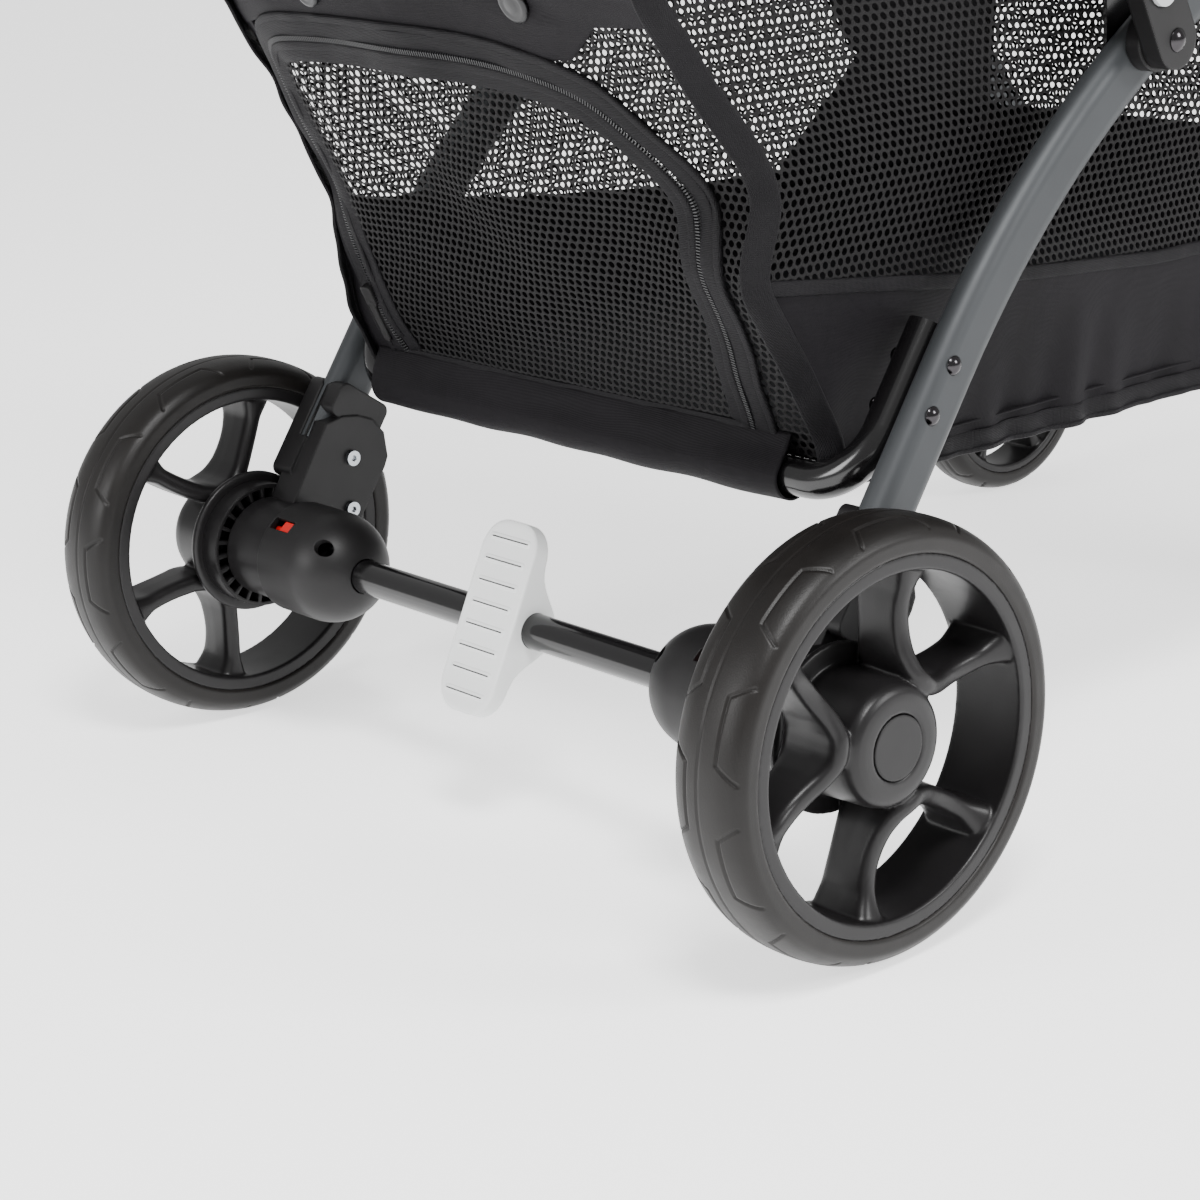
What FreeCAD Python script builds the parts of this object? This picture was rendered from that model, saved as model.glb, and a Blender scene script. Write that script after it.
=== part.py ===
import FreeCAD, Part
import math
import os
import Sketcher
from FreeCAD import Placement, Rotation, Vector

# Pet stroller: a folding frame on four wheels that carries a mesh cabin with a canopy.
# Origin on the floor under the middle of the object, +Z up, -Y towards the front, +X towards the
# stroller's left side. All sizes are in millimetres and degrees.

os.makedirs("parts", exist_ok=True)
doc = FreeCAD.newDocument("pet_stroller")
sheet = doc.addObject("Spreadsheet::Sheet", "Sizes")

# Driving dimensions: alias and value.
SIZES = {
    # wheels
    "rear_radius": 100.0,
    "rear_width": 41.8,
    "rear_seat_radius": 85.2,
    "rear_opening_radius": 77.9,
    "rear_hub_radius": 28.0,
    "rear_track": 489.2,
    "front_radius": 75.0,
    "front_width": 32.0,
    "front_seat_radius": 62.5,
    "front_opening_radius": 57.0,
    "front_hub_radius": 19.0,
    "front_track": 464.0,
    "wheelbase": 627.0,
    "rear_rim_half": 19.5,
    "front_rim_half": 14.8,
    "spoke_side_gap": 2.0,
    "spoke_half_angle": 29.0,
    "spoke_wall": 8.4,
    "tyre_shoulder": 7.0,
    "hub_cap_radius": 14.6,
    "hub_cap_thickness": 2.4,
    # axle and brake
    "axle_diameter": 8.0,
    "running_gap": 0.06,
    "brake_tube_diameter": 18.0,
    "brake_tube_length": 300.0,
    "dome_radius": 30.0,
    "dome_wall": 3.0,
    "dome_inner_end": 118.0,
    "dome_seam": 176.0,
    "bracket_barrel_radius": 27.0,
    "bracket_barrel_end": 209.0,
    "bracket_inner_face": 188.0,
    "collar_inset": 0.8,
    "collar_foot": 78.0,
    "collar_top": 97.0,
    "jacket_foot": 38.0,
    "jacket_inner_face": 200.0,
    "jacket_outer_face": 216.8,
    "collar_half": 18.0,
    "collar_offset": 4.0,
    "loop_angle_right": 131.0,
    "loop_angle_left": 71.0,
    "brake_ring_radius": 34.0,
    "brake_ring_depth": 12.4,
    "brake_slot_depth": 8.0,
    "brake_pin_circle": 23.0,
    "brake_pin_diameter": 3.8,
    "brake_pin_angle": 52.0,
    "brake_travel": 6.0,
    "pedal_width": 40.0,
    "pedal_length": 98.0,
    "pedal_thickness": 8.0,
    "pedal_tilt": 116.0,
    # frame tubes
    "leg_plane": 203.0,
    "leg_breadth": 28.0,
    "leg_thickness": 16.0,
    "tube_wall": 1.5,
    "leg_slope": 125.0,
    "leg_straight": 108.0,
    "leg_bend_radius": 500.0,
    "leg_bend_angle": 43.0,
    "leg_end_run": 25.0,
    "leg_start": 62.0,
    "support_tube_diameter": 18.0,
    "support_arm_plane": 186.0,
    "support_arm": 83.0,
    "support_bend": 30.0,
    "rail_diameter": 16.0,
    "rail_bend": 60.0,
    "rail_reach": 158.0,
    "rail_angle": 165.0,
    "rail_rise": 6.0,
    "rail_overlap": 46.0,
    "fitting_run": 60.0,
    # fold joint and handle
    "fold_height": 374.0,
    "fold_ahead": 226.0,
    "handle_slope": 64.0,
    "handle_plane": 230.5,
    "handle_diameter": 22.0,
    "handle_straight": 480.0,
    "handle_bend": 90.0,
    "handle_bend_angle": 40.0,
    "bar_arm": 34.7,
    "bar_bend": 60.0,
    "grip_diameter": 33.0,
    "grip_length": 300.0,
    "fitting_inner": 219.0,
    "fitting_thickness": 10.0,
    "fitting_width": 27.0,
    "boss_radius": 15.0,
    # front frame and casters
    "caster_trail": 28.0,
    "hinge_lead": 27.0,
    "fork_gap": 3.0,
    "fork_wall": 5.0,
    "stem_diameter": 12.0,
    "socket_radius": 16.0,
    # cabin and canopy
    "floor_height": 198.0,
    "rim_height": 498.0,
    "cabin_floor_half": 168.0,
    "cabin_rim_half": 184.0,
    "cabin_wall": 3.0,
    "cabin_corner": 26.0,
    "zip_travel": 110.0,
    "door_width": 284.0,
    "door_height": 190.0,
    "canopy_height": 520.0,
    "canopy_radius": 318.0,
    "canopy_side": 189.0,
    "canopy_corner": 100.0,
    "canopy_sheet": 2.5,
    "canopy_rear_angle": 8.0,
    "canopy_middle_angle": 50.0,
    "canopy_upper_angle": 90.0,
    "canopy_front_angle": 130.0,
    "bow_diameter": 6.0,
}
for row, (alias, value) in enumerate(SIZES.items(), start=1):
    sheet.set("A%d" % row, alias)
    sheet.set("B%d" % row, str(value))
    sheet.setAlias("B%d" % row, alias)
doc.recompute()

SIDES = {"left": 1, "right": -1}
PARTS = []

# Screws of a wheel bracket, as (y, z) from the axle, and rivets along the arm of the support tube.
SCREWS = ((-42.5, 15.5), (-45.0, 44.0))
RIVETS = (41.0, 66.0)


def val(alias):
    """Number in the sheet's cell."""
    return float(sheet.get(alias))


def bind(obj, prop, formula):
    """Binds a property to a formula of the sheet's cells, written {alias}."""
    names = {alias: "Sizes." + alias for alias in SIZES}
    obj.setExpression(prop, formula.format(**names))


def heading(angle):
    """Unit vector in the YZ plane, angle from +Y towards +Z."""
    return Vector(0, math.cos(math.radians(angle)), math.sin(math.radians(angle)))


def frame(origin, x_axis, y_axis):
    """Placement with the given origin and in-plane axes."""
    return Placement(origin, Rotation(x_axis, y_axis, x_axis.cross(y_axis), "XYZ"))


def side_frame(x, origin=Vector(0, 0, 0)):
    """Plane seen from the side: its x is +Y, its y is +Z, and it stands at x."""
    return frame(Vector(x, origin.y, origin.z), Vector(0, 1, 0), Vector(0, 0, 1))


def new_body(label):
    """Empty body that will be written to its own file."""
    body = doc.addObject("PartDesign::Body", label)
    body.Label = label
    PARTS.append(body)
    return body


def keep(obj, label):
    """Marks a Part object as a sub-part."""
    obj.Label = label
    PARTS.append(obj)
    return obj


def new_sketch(body, placement):
    """Sketch of the body, set off from its XY plane by the placement."""
    plane = [item for item in body.Origin.OriginFeatures if item.Role == "XY_Plane"][0]
    sketch = body.newObject("Sketcher::SketchObject", body.Label + "_sketch")
    sketch.AttachmentSupport = [(plane, "")]
    sketch.MapMode = "FlatFace"
    sketch.AttachmentOffset = placement
    return sketch


def circle(sketch, x, y, formula):
    """Circle whose radius follows the formula."""
    index = sketch.addGeometry(Part.Circle(Vector(x, y, 0), Vector(0, 0, 1), 1.0))
    constraint = sketch.addConstraint(Sketcher.Constraint("Radius", index, 1.0))
    bind(sketch, "Constraints[%d]" % constraint, formula)
    return index


def slot_outline(sketch, breadth, thickness, inset):
    """Flat oval about the sketch's origin, its long side along y, inset on every side."""
    long_side = val(breadth) - 2 * inset
    short_side = val(thickness) - 2 * inset
    radius = short_side / 2
    centre = (long_side - short_side) / 2
    normal = Vector(0, 0, 1)
    top = sketch.addGeometry(Part.ArcOfCircle(Part.Circle(Vector(0, centre, 0), normal, radius), 0, math.pi))
    bottom = sketch.addGeometry(
        Part.ArcOfCircle(Part.Circle(Vector(0, -centre, 0), normal, radius), math.pi, 2 * math.pi)
    )
    left = sketch.addGeometry(Part.LineSegment(Vector(-radius, centre, 0), Vector(-radius, -centre, 0)))
    right = sketch.addGeometry(Part.LineSegment(Vector(radius, -centre, 0), Vector(radius, centre, 0)))
    for first, first_end, second, second_end in (
        (top, 2, left, 1),
        (left, 2, bottom, 1),
        (bottom, 2, right, 1),
        (right, 2, top, 1),
    ):
        sketch.addConstraint(Sketcher.Constraint("Tangent", first, first_end, second, second_end))
    sketch.addConstraint(Sketcher.Constraint("Symmetric", top, 3, bottom, 3, -1, 1))
    sketch.addConstraint(Sketcher.Constraint("Vertical", left))
    constraint = sketch.addConstraint(Sketcher.Constraint("Radius", top, radius))
    bind(sketch, "Constraints[%d]" % constraint, "{%s} / 2 - %g" % (thickness, inset))
    constraint = sketch.addConstraint(Sketcher.Constraint("Distance", left, 2 * centre))
    bind(sketch, "Constraints[%d]" % constraint, "{%s} - {%s}" % (breadth, thickness))


def polygon(sketch, points):
    """Closed outline of straight lines."""
    corners = [Vector(x, y, 0) for x, y in points]
    first = sketch.GeometryCount
    for start, end in zip(corners, corners[1:] + corners[:1]):
        sketch.addGeometry(Part.LineSegment(start, end))
    count = len(corners)
    for index in range(count):
        following = (index + 1) % count
        sketch.addConstraint(Sketcher.Constraint("Coincident", first + index, 2, first + following, 1))


def outline(sketch, edges):
    """Closed outline of edges that already meet end to end."""
    for edge in edges:
        sketch.addGeometry(edge)


def rounded_box(low_x, high_x, low_y, high_y, radius):
    """Edges of a rounded rectangle."""
    corners = ((high_x, high_y, 0), (low_x, high_y, 90), (low_x, low_y, 180), (high_x, low_y, 270))
    middle = Vector((low_x + high_x) / 2, (low_y + high_y) / 2, 0)
    arcs = []
    for x, y, start in corners:
        inward_x = math.copysign(radius, x - middle.x)
        inward_y = math.copysign(radius, y - middle.y)
        ring = Part.Circle(Vector(x - inward_x, y - inward_y, 0), Vector(0, 0, 1), radius)
        arcs.append(Part.ArcOfCircle(ring, math.radians(start), math.radians(start + 90)))
    edges = []
    for arc, following in zip(arcs, arcs[1:] + arcs[:1]):
        edges.append(arc)
        edges.append(Part.LineSegment(arc.EndPoint, following.StartPoint))
    return edges


def walk(start, angle, steps):
    """Points and headings after each run or bend of a flat path."""
    stations = [(start, angle)]
    for step in steps:
        point, direction = stations[-1]
        turn = math.radians(direction)
        if step[0] == "run":
            point = point + Vector(math.cos(turn), math.sin(turn), 0) * val(step[1])
        else:
            sign = math.copysign(1, step[2])
            radius = val(step[1]) * sign
            centre = point + Vector(-math.sin(turn), math.cos(turn), 0) * radius
            end = math.radians(direction + step[2])
            point = centre + Vector(math.sin(end), -math.cos(end), 0) * radius
            direction = direction + step[2]
        stations.append((point, direction))
    return stations


def tube(label, placement, start, angle, steps, section, hollow=True):
    """Body swept along straight runs and tangent bends of one plane.

    section is (diameter,) for a round tube or (breadth, thickness) for a flat oval one.
    """
    body = new_body(label)
    path = new_sketch(body, placement)
    stations = walk(start, angle, steps)
    for step, (here, direction), (there, _) in zip(steps, stations, stations[1:]):
        if step[0] == "run":
            index = path.addGeometry(Part.LineSegment(here, there))
            constraint = path.addConstraint(Sketcher.Constraint("Distance", index, (there - here).Length))
        else:
            half = math.radians(direction + step[2] / 2)
            side = math.copysign(val(step[1]), step[2])
            turn = math.radians(direction)
            centre = here + Vector(-math.sin(turn), math.cos(turn), 0) * side
            middle = centre + Vector(math.sin(half), -math.cos(half), 0) * side
            index = path.addGeometry(Part.Arc(here, middle, there))
            constraint = path.addConstraint(Sketcher.Constraint("Radius", index, val(step[1])))
        bind(path, "Constraints[%d]" % constraint, "{%s}" % step[1])
    turn = math.radians(angle)
    along = Vector(math.cos(turn), math.sin(turn), 0)
    across = Vector(0, 0, 1)
    local = Placement(start, Rotation(across, along.cross(across), along, "XYZ"))
    profile = new_sketch(body, placement.multiply(local))
    if len(section) == 1:
        circle(profile, 0, 0, "{%s} / 2" % section[0])
        if hollow:
            circle(profile, 0, 0, "{%s} / 2 - {tube_wall}" % section[0])
    else:
        slot_outline(profile, section[0], section[1], 0)
        if hollow:
            slot_outline(profile, section[0], section[1], val("tube_wall"))
    pipe = body.newObject("PartDesign::AdditivePipe", label + "_pipe")
    pipe.Profile = profile
    pipe.Spine = path
    doc.recompute()
    return body


def pad(body, sketch, formula, reverse=False, symmetric=False):
    """Pad along the sketch's normal."""
    feature = body.newObject("PartDesign::Pad", body.Label + "_pad")
    feature.Profile = sketch
    bind(feature, "Length", formula)
    feature.Reversed = reverse
    if symmetric:
        feature.SideType = "Symmetric"
    doc.recompute()
    return feature


def pocket(body, sketch, formula, reverse=False, symmetric=False):
    """Pocket against the sketch's normal, which has to take material away."""
    before = body.Shape.Volume
    feature = body.newObject("PartDesign::Pocket", body.Label + "_pocket")
    feature.Profile = sketch
    bind(feature, "Length", formula)
    feature.Reversed = reverse
    if symmetric:
        feature.SideType = "Symmetric"
    doc.recompute()
    if body.Shape.Volume > before - 0.01:
        raise RuntimeError(body.Label + ": a pocket removed nothing")
    return feature


def revolve(body, sketch, angle=360.0, reverse=False, axis="H_Axis"):
    """Revolution about an axis of the sketch."""
    feature = body.newObject("PartDesign::Revolution", body.Label + "_revolution")
    feature.Profile = sketch
    feature.ReferenceAxis = (sketch, [axis])
    feature.Angle = angle
    feature.Reversed = reverse
    doc.recompute()
    return feature


def polar(body, feature, sketch, count):
    """Full ring of copies of a feature about its sketch's normal."""
    pattern = body.newObject("PartDesign::PolarPattern", body.Label + "_pattern")
    pattern.Originals = [feature]
    pattern.Axis = (sketch, ["N_Axis"])
    pattern.Angle = 360
    pattern.Occurrences = count
    body.Tip = pattern
    doc.recompute()
    return pattern


def cylinder(name, radius, height, base, axis, offset_radius=0.0):
    """Cylinder whose radius and height are formulas."""
    solid = doc.addObject("Part::Cylinder", name)
    bind(solid, "Radius", "%s + %g" % (radius, offset_radius) if offset_radius else radius)
    bind(solid, "Height", height)
    solid.Placement = Placement(base, Rotation(Vector(0, 0, 1), axis))
    return solid


def fuse(name, solids):
    """Union of Part objects."""
    union = doc.addObject("Part::MultiFuse", name)
    union.Shapes = solids
    return union


def cut(name, base, tool):
    """One Part object less another."""
    difference = doc.addObject("Part::Cut", name)
    difference.Base = base
    difference.Tool = tool
    return difference


def together(name, solids):
    """Separate solids of one kind, as one node."""
    group = doc.addObject("Part::Compound", name)
    group.Links = solids
    return group


# ---------------------------------------------------------------- places that pieces share
handle_walk = walk(
    Vector(0, 0, 0),
    val("handle_slope"),
    [("run", "handle_straight"), ("bend", "handle_bend", -val("handle_bend_angle"))],
)
bar_slope = val("handle_slope") - val("handle_bend_angle")
bar_reach = heading(bar_slope) * (val("bar_arm") + val("bar_bend"))
handle_start = heading(val("handle_slope")) * val("fitting_run")
bar_from_fold = handle_start + Vector(0, handle_walk[-1][0].x, handle_walk[-1][0].y) + bar_reach
rear_reach = bar_from_fold.y - val("fold_ahead") + val("grip_diameter") / 2
front_reach = val("wheelbase") + val("front_radius")
AXLE = Vector(0, (front_reach - rear_reach) / 2, val("rear_radius"))
FOLD = Vector(0, AXLE.y - val("fold_ahead"), val("fold_height"))
FRONT_AXLE = Vector(0, AXLE.y - val("wheelbase"), val("front_radius"))
SWIVEL = Vector(0, FRONT_AXLE.y - val("caster_trail"), 0)

LEG_STEPS = [
    ("run", "leg_straight"),
    ("bend", "leg_bend_radius", val("leg_bend_angle")),
    ("run", "leg_end_run"),
]
leg_direction = heading(val("leg_slope"))
leg_foot = AXLE + leg_direction * val("leg_start")
leg_stations = walk(Vector(leg_foot.y, leg_foot.z, 0), val("leg_slope"), LEG_STEPS)
leg_end = Vector(0, leg_stations[-1][0].x, leg_stations[-1][0].y)
leg_end_angle = leg_stations[-1][1]
HINGE = leg_end + heading(leg_end_angle) * val("hinge_lead")
LEG_TOE = Vector(0, SWIVEL.y + 11, 215)
support_up = heading(val("leg_slope"))
SUPPORT = AXLE + Vector(0, -56, 89)
SIDE_X = val("leg_plane")
WHEEL_X = val("rear_track") / 2
CASTER_X = val("front_track") / 2


def angle_of(vector):
    """Heading of a vector in the YZ plane."""
    return math.degrees(math.atan2(vector.z, vector.y))


def facing(x, origin, x_axis):
    """Plane at x through origin, seen from the side, its x axis along the given direction."""
    return frame(Vector(x, origin.y, origin.z), x_axis, Vector(1, 0, 0).cross(x_axis))


# ---------------------------------------------------------------- wheels
def wheel_profile(x, centre, side):
    """Plane for a turned wheel section: x outwards along the axle, y away from it."""
    return frame(Vector(x, centre.y, centre.z), Vector(side, 0, 0), Vector(0, 0, 1))


def tyre(label, x, centre, side, radius, width, seat):
    """Solid tyre with rounded shoulders."""
    body = new_body(label)
    sketch = new_sketch(body, wheel_profile(x, centre, side))
    half = val(width) / 2
    top = val(radius)
    soft = val("tyre_shoulder")
    low = val(seat) + 0.05
    rise = top - soft
    normal = Vector(0, 0, 1)
    right = Part.ArcOfCircle(Part.Circle(Vector(half - soft, rise, 0), normal, soft), 0, math.pi / 2)
    left = Part.ArcOfCircle(Part.Circle(Vector(soft - half, rise, 0), normal, soft), math.pi / 2, math.pi)
    outline(
        sketch,
        [
            Part.LineSegment(Vector(-half, low, 0), Vector(half, low, 0)),
            Part.LineSegment(Vector(half, low, 0), Vector(half, rise, 0)),
            right,
            Part.LineSegment(Vector(half - soft, top, 0), Vector(soft - half, top, 0)),
            left,
            Part.LineSegment(Vector(-half, rise, 0), Vector(-half, low, 0)),
        ],
    )
    revolve(body, sketch)
    return body


def on_circle(radius, angle):
    """Point of a circle about the origin."""
    turn = math.radians(angle)
    return Vector(radius * math.cos(turn), radius * math.sin(turn), 0)


def rim(label, x, centre, side, sizes):
    """Rim, three U-shaped spoke loops and hub, moulded in one piece."""
    seat, opening, hub, half = sizes["seat"], sizes["opening"], sizes["hub"], sizes["half"]
    body = new_body(label)
    barrel = new_sketch(body, wheel_profile(x, centre, side))
    polygon(barrel, [(-half, opening), (half, opening), (half, seat), (-half, seat)])
    revolve(body, barrel)
    loop = new_sketch(body, facing(x, centre, heading(sizes["first_loop"])))
    spread = val("spoke_half_angle")
    lap = (opening + seat) / 2
    swing = math.degrees(val("spoke_wall") / 2 / opening)
    reach = spread + swing
    root = hub * 0.97
    outer_high = on_circle(lap, reach)
    outer_low = on_circle(lap, -reach)
    root_high = on_circle(root, 55)
    root_low = on_circle(root, -55)
    outline(
        loop,
        [
            Part.LineSegment(root_high, outer_high),
            Part.Arc(outer_high, on_circle(lap, 0), outer_low),
            Part.LineSegment(outer_low, root_low),
            Part.Arc(root_low, on_circle(root, 0), root_high),
        ],
    )
    window = spread - swing
    bend = hub * 0.42
    heart = Vector(hub + val("spoke_wall") * 0.75 + bend, 0, 0)
    high = on_circle(opening, window)
    low = on_circle(opening, -window)
    slope = (high - heart).Length
    lean = math.degrees(math.atan2(high.y - heart.y, high.x - heart.x))
    touch = lean + math.degrees(math.acos(bend / slope))
    touch_high = heart + on_circle(bend, touch)
    touch_low = heart + on_circle(bend, -touch)
    outline(
        loop,
        [
            Part.LineSegment(touch_high, high),
            Part.Arc(high, on_circle(opening, 0), low),
            Part.LineSegment(low, touch_low),
            Part.Arc(touch_low, heart - Vector(bend, 0, 0), touch_high),
        ],
    )
    spoke = body.newObject("PartDesign::Pad", label + "_loop")
    spoke.Profile = loop
    spoke.SideType = "Symmetric"
    bind(spoke, "Length", "2 * {%s} - 2 * {spoke_side_gap}" % sizes["half_alias"])
    doc.recompute()
    polar(body, spoke, loop, 3)
    core = new_sketch(body, wheel_profile(x, centre, side))
    polygon(core, sizes["core"])
    revolve(body, core)
    return body


def hub_section(bore, hub, inner_end, outer_end, flange, recess_radius, recess_floor):
    """Half section of a hub: bore, outer recess and inner flange, as (along, radius) points."""
    points = [(inner_end, bore), (recess_floor, bore), (recess_floor, recess_radius)]
    points += [(outer_end, recess_radius), (outer_end, hub), (inner_end + 4, hub)]
    points += [(inner_end + 4, flange), (inner_end, flange)]
    return points


def rear_wheels():
    """Rear wheels with their tyres, hub caps and slotted brake rings."""
    half = val("rear_rim_half")
    bore = val("axle_diameter") / 2 + val("running_gap")
    cap_face = 18.6
    cap = val("hub_cap_radius")
    cap_floor = cap_face - val("hub_cap_thickness")
    for name, side in SIDES.items():
        x = side * WHEEL_X
        tyre("rear_tyre_" + name, x, AXLE, side, "rear_radius", "rear_width", "rear_seat_radius")
        core = hub_section(bore, val("rear_hub_radius"), -22.4, cap_face, 39.0, 12.0, 8.0)
        core[3:4] = [(cap_floor, 12.0), (cap_floor, cap + 0.1), (cap_face, cap + 0.1)]
        sizes = {
            "seat": val("rear_seat_radius"),
            "opening": val("rear_opening_radius"),
            "hub": val("rear_hub_radius"),
            "half": half,
            "half_alias": "rear_rim_half",
            "first_loop": val("loop_angle_" + name),
            "core": core,
        }
        rim("rear_rim_" + name, x, AXLE, side, sizes)
        disc = new_body("hub_cap_" + name)
        face = new_sketch(disc, side_frame(x + side * (cap_floor + 0.05), AXLE))
        circle(face, 0, 0, "{hub_cap_radius}")
        pad(disc, face, "{hub_cap_thickness}", reverse=side < 0)
        brake_ring("brake_ring_" + name, side)


def brake_ring(label, side):
    """Ring with radial slots that the brake pin drops into."""
    body = new_body(label)
    inner_face = WHEEL_X - 22.4 - val("brake_ring_depth")
    ring = new_sketch(body, side_frame(side * inner_face, AXLE))
    circle(ring, 0, 0, "{brake_ring_radius}")
    circle(ring, 0, 0, "{brake_ring_radius} - 18")
    pad(body, ring, "{brake_ring_depth} - 0.05", reverse=side < 0)
    slot = new_sketch(body, side_frame(side * inner_face, AXLE))
    count = 24
    half_angle = 360 / count * 0.37
    low, high = 20.5, 32.0
    middle = val("brake_pin_angle")
    outline(
        slot,
        [
            Part.LineSegment(on_circle(low, middle + half_angle), on_circle(high, middle + half_angle)),
            Part.LineSegment(on_circle(high, middle + half_angle), on_circle(high, middle - half_angle)),
            Part.LineSegment(on_circle(high, middle - half_angle), on_circle(low, middle - half_angle)),
            Part.LineSegment(on_circle(low, middle - half_angle), on_circle(low, middle + half_angle)),
        ],
    )
    window = pocket(body, slot, "{brake_slot_depth}", reverse=side > 0)
    polar(body, window, slot, count)


def front_wheels():
    """Front wheels with their tyres."""
    half = val("front_rim_half")
    bore = 3.0 + val("running_gap")
    for name, side in SIDES.items():
        x = side * CASTER_X
        tyre("front_tyre_" + name, x, FRONT_AXLE, side, "front_radius", "front_width", "front_seat_radius")
        core = hub_section(bore, val("front_hub_radius"), -17.0, 17.0, 22.0, 8.0, 15.5)
        sizes = {
            "seat": val("front_seat_radius"),
            "opening": val("front_opening_radius"),
            "hub": val("front_hub_radius"),
            "half": half,
            "half_alias": "front_rim_half",
            "first_loop": 90.0,
            "core": core,
        }
        rim("front_rim_" + name, x, FRONT_AXLE, side, sizes)


# ---------------------------------------------------------------- rear frame
def leg_outline_at(body, placement, clearance):
    """Flat oval opening for the end of a leg, with clearance all round."""
    sketch = new_sketch(body, placement)
    slot_outline(sketch, "leg_breadth", "leg_thickness", -clearance)
    return sketch


def rear_legs():
    """Curved legs that rise from the wheel brackets to the front hinges."""
    section = ("leg_breadth", "leg_thickness")
    start = Vector(leg_foot.y, leg_foot.z, 0)
    for name, side in SIDES.items():
        tube("rear_leg_" + name, side_frame(side * SIDE_X), start, val("leg_slope"), LEG_STEPS, section)


def wheel_brackets():
    """Plastic brackets: collar round the leg, flat-faced body and barrel round the axle."""
    face = [(-30, 66), (-1, 21), (0, -20), (-30, -20), (-46, 5), (-67, 34.5)]
    face += [(-69.5, 40), (-68, 54), (-61, 62.5), (-51.5, 66.5), (-41, 68)]
    half = val("collar_half")
    inner = val("bracket_inner_face")
    down = Vector(1, 0, 0).cross(leg_direction)
    collar_middle = AXLE + down * val("collar_offset")
    for name, side in SIDES.items():
        body = new_body("wheel_bracket_" + name)
        plate = new_sketch(body, side_frame(side * inner, AXLE))
        polygon(plate, face)
        pad(body, plate, "{bracket_barrel_end} - {bracket_inner_face}", reverse=side < 0)
        barrel = new_sketch(body, side_frame(side * val("dome_seam"), AXLE))
        circle(barrel, 0, 0, "{bracket_barrel_radius}")
        pad(body, barrel, "{bracket_barrel_end} - {dome_seam}", reverse=side < 0)
        collar_face = inner + val("collar_inset")
        collar = new_sketch(body, facing(side * collar_face, collar_middle, leg_direction))
        outline(collar, rounded_box(val("collar_foot"), val("collar_top"), -half, half, 5.0))
        pad(body, collar, "{jacket_outer_face} - {bracket_inner_face} - {collar_inset}", reverse=side < 0)
        jacket = new_sketch(body, facing(side * val("jacket_inner_face"), collar_middle, leg_direction))
        outline(jacket, rounded_box(val("jacket_foot"), val("collar_top"), -half, half, 5.0))
        pad(body, jacket, "{jacket_outer_face} - {jacket_inner_face}", reverse=side < 0)
        mouth = AXLE + leg_direction * 110 + Vector(side * SIDE_X, 0, 0)
        across = Vector(1, 0, 0)
        opening = leg_outline_at(body, frame(mouth, across, leg_direction.cross(across)), 0.1)
        pocket(body, opening, "110 - {leg_start} + 0.1")
        bore = new_sketch(body, side_frame(side * val("dome_seam"), AXLE))
        circle(bore, 0, 0, "{axle_diameter} / 2 + 0.02")
        turn = math.radians(val("brake_pin_angle"))
        ring = val("brake_pin_circle")
        circle(bore, ring * math.cos(turn), ring * math.sin(turn), "{brake_pin_diameter} / 2 + 0.4")
        pocket(body, bore, "{bracket_barrel_end} - {dome_seam} + 1", reverse=side > 0)
        for y, z in SCREWS:
            hole = new_sketch(body, side_frame(side * (inner - 1), AXLE))
            circle(hole, y, z, "2.55")
            pocket(body, hole, "9", reverse=side > 0)


def hex_screw(name, base, axis):
    """Button-head screw with a hexagon socket, its head outwards along the axis."""
    head = cylinder(name + "_head", "4.25", "2.4", base, axis)
    shank = cylinder(name + "_shank", "2.5", "6.5", base - axis * 6.5, axis)
    socket = doc.addObject("Part::Prism", name + "_socket")
    socket.Polygon = 6
    socket.Circumradius = 1.75
    socket.Height = 2
    socket.Placement = Placement(base + axis * 0.9, Rotation(Vector(0, 0, 1), axis))
    return cut(name, fuse(name + "_solid", [head, shank]), socket)


def domed_rivet(name, base, axis, length, radius, dome):
    """Rivet with a domed head at base, and a shank and a flat inner head behind it."""
    ball_radius = (radius * radius + dome * dome) / (2 * dome)
    ball = doc.addObject("Part::Sphere", name + "_ball")
    ball.Radius = ball_radius
    ball.Placement.Base = base - axis * (ball_radius - dome)
    disc = cylinder(name + "_disc", str(radius), str(dome + 1), base, axis)
    head = doc.addObject("Part::Common", name + "_head")
    head.Base = ball
    head.Tool = disc
    shank = cylinder(name + "_shank", "2.5", str(length), base - axis * length, axis)
    inner = cylinder(name + "_inner", str(radius * 0.8), "1.6", base - axis * (length + 1.6), axis)
    return fuse(name, [head, shank, inner])


def frame_fasteners():
    """Screws of the wheel brackets and rivets of the cabin's support tube."""
    screws = []
    rivets = []
    for name, side in SIDES.items():
        for index, (y, z) in enumerate(SCREWS):
            base = AXLE + Vector(side * val("bracket_inner_face"), y, z)
            screws.append(hex_screw("screw_%s_%d" % (name, index), base, Vector(-side, 0, 0)))
        for index, along in enumerate(RIVETS):
            outer = SIDE_X + val("leg_thickness") / 2
            inner = val("support_arm_plane") - val("support_tube_diameter") / 2
            base = SUPPORT + support_up * along + Vector(side * outer, 0, 0)
            label = "rivet_%s_%d" % (name, index)
            rivets.append(domed_rivet(label, base, Vector(side, 0, 0), outer - inner, 4.6, 2.6))
    keep(together("rivet_set", rivets), "frame_rivets")
    return screws


def u_steps(arm, bend, run):
    """Steps of a U: down one arm, across and up the other."""
    return [("run", arm), ("bend", bend, -90), ("run", run), ("bend", bend, -90), ("run", arm)]


def add_size(alias, value):
    """Adds a derived length to the sheet, for a path that needs it."""
    row_number = len(SIZES) + 1
    SIZES[alias] = value
    sheet.set("A%d" % row_number, alias)
    sheet.set("B%d" % row_number, "%.4f" % value)
    sheet.setAlias("B%d" % row_number, alias)
    doc.recompute()
    return alias


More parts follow.
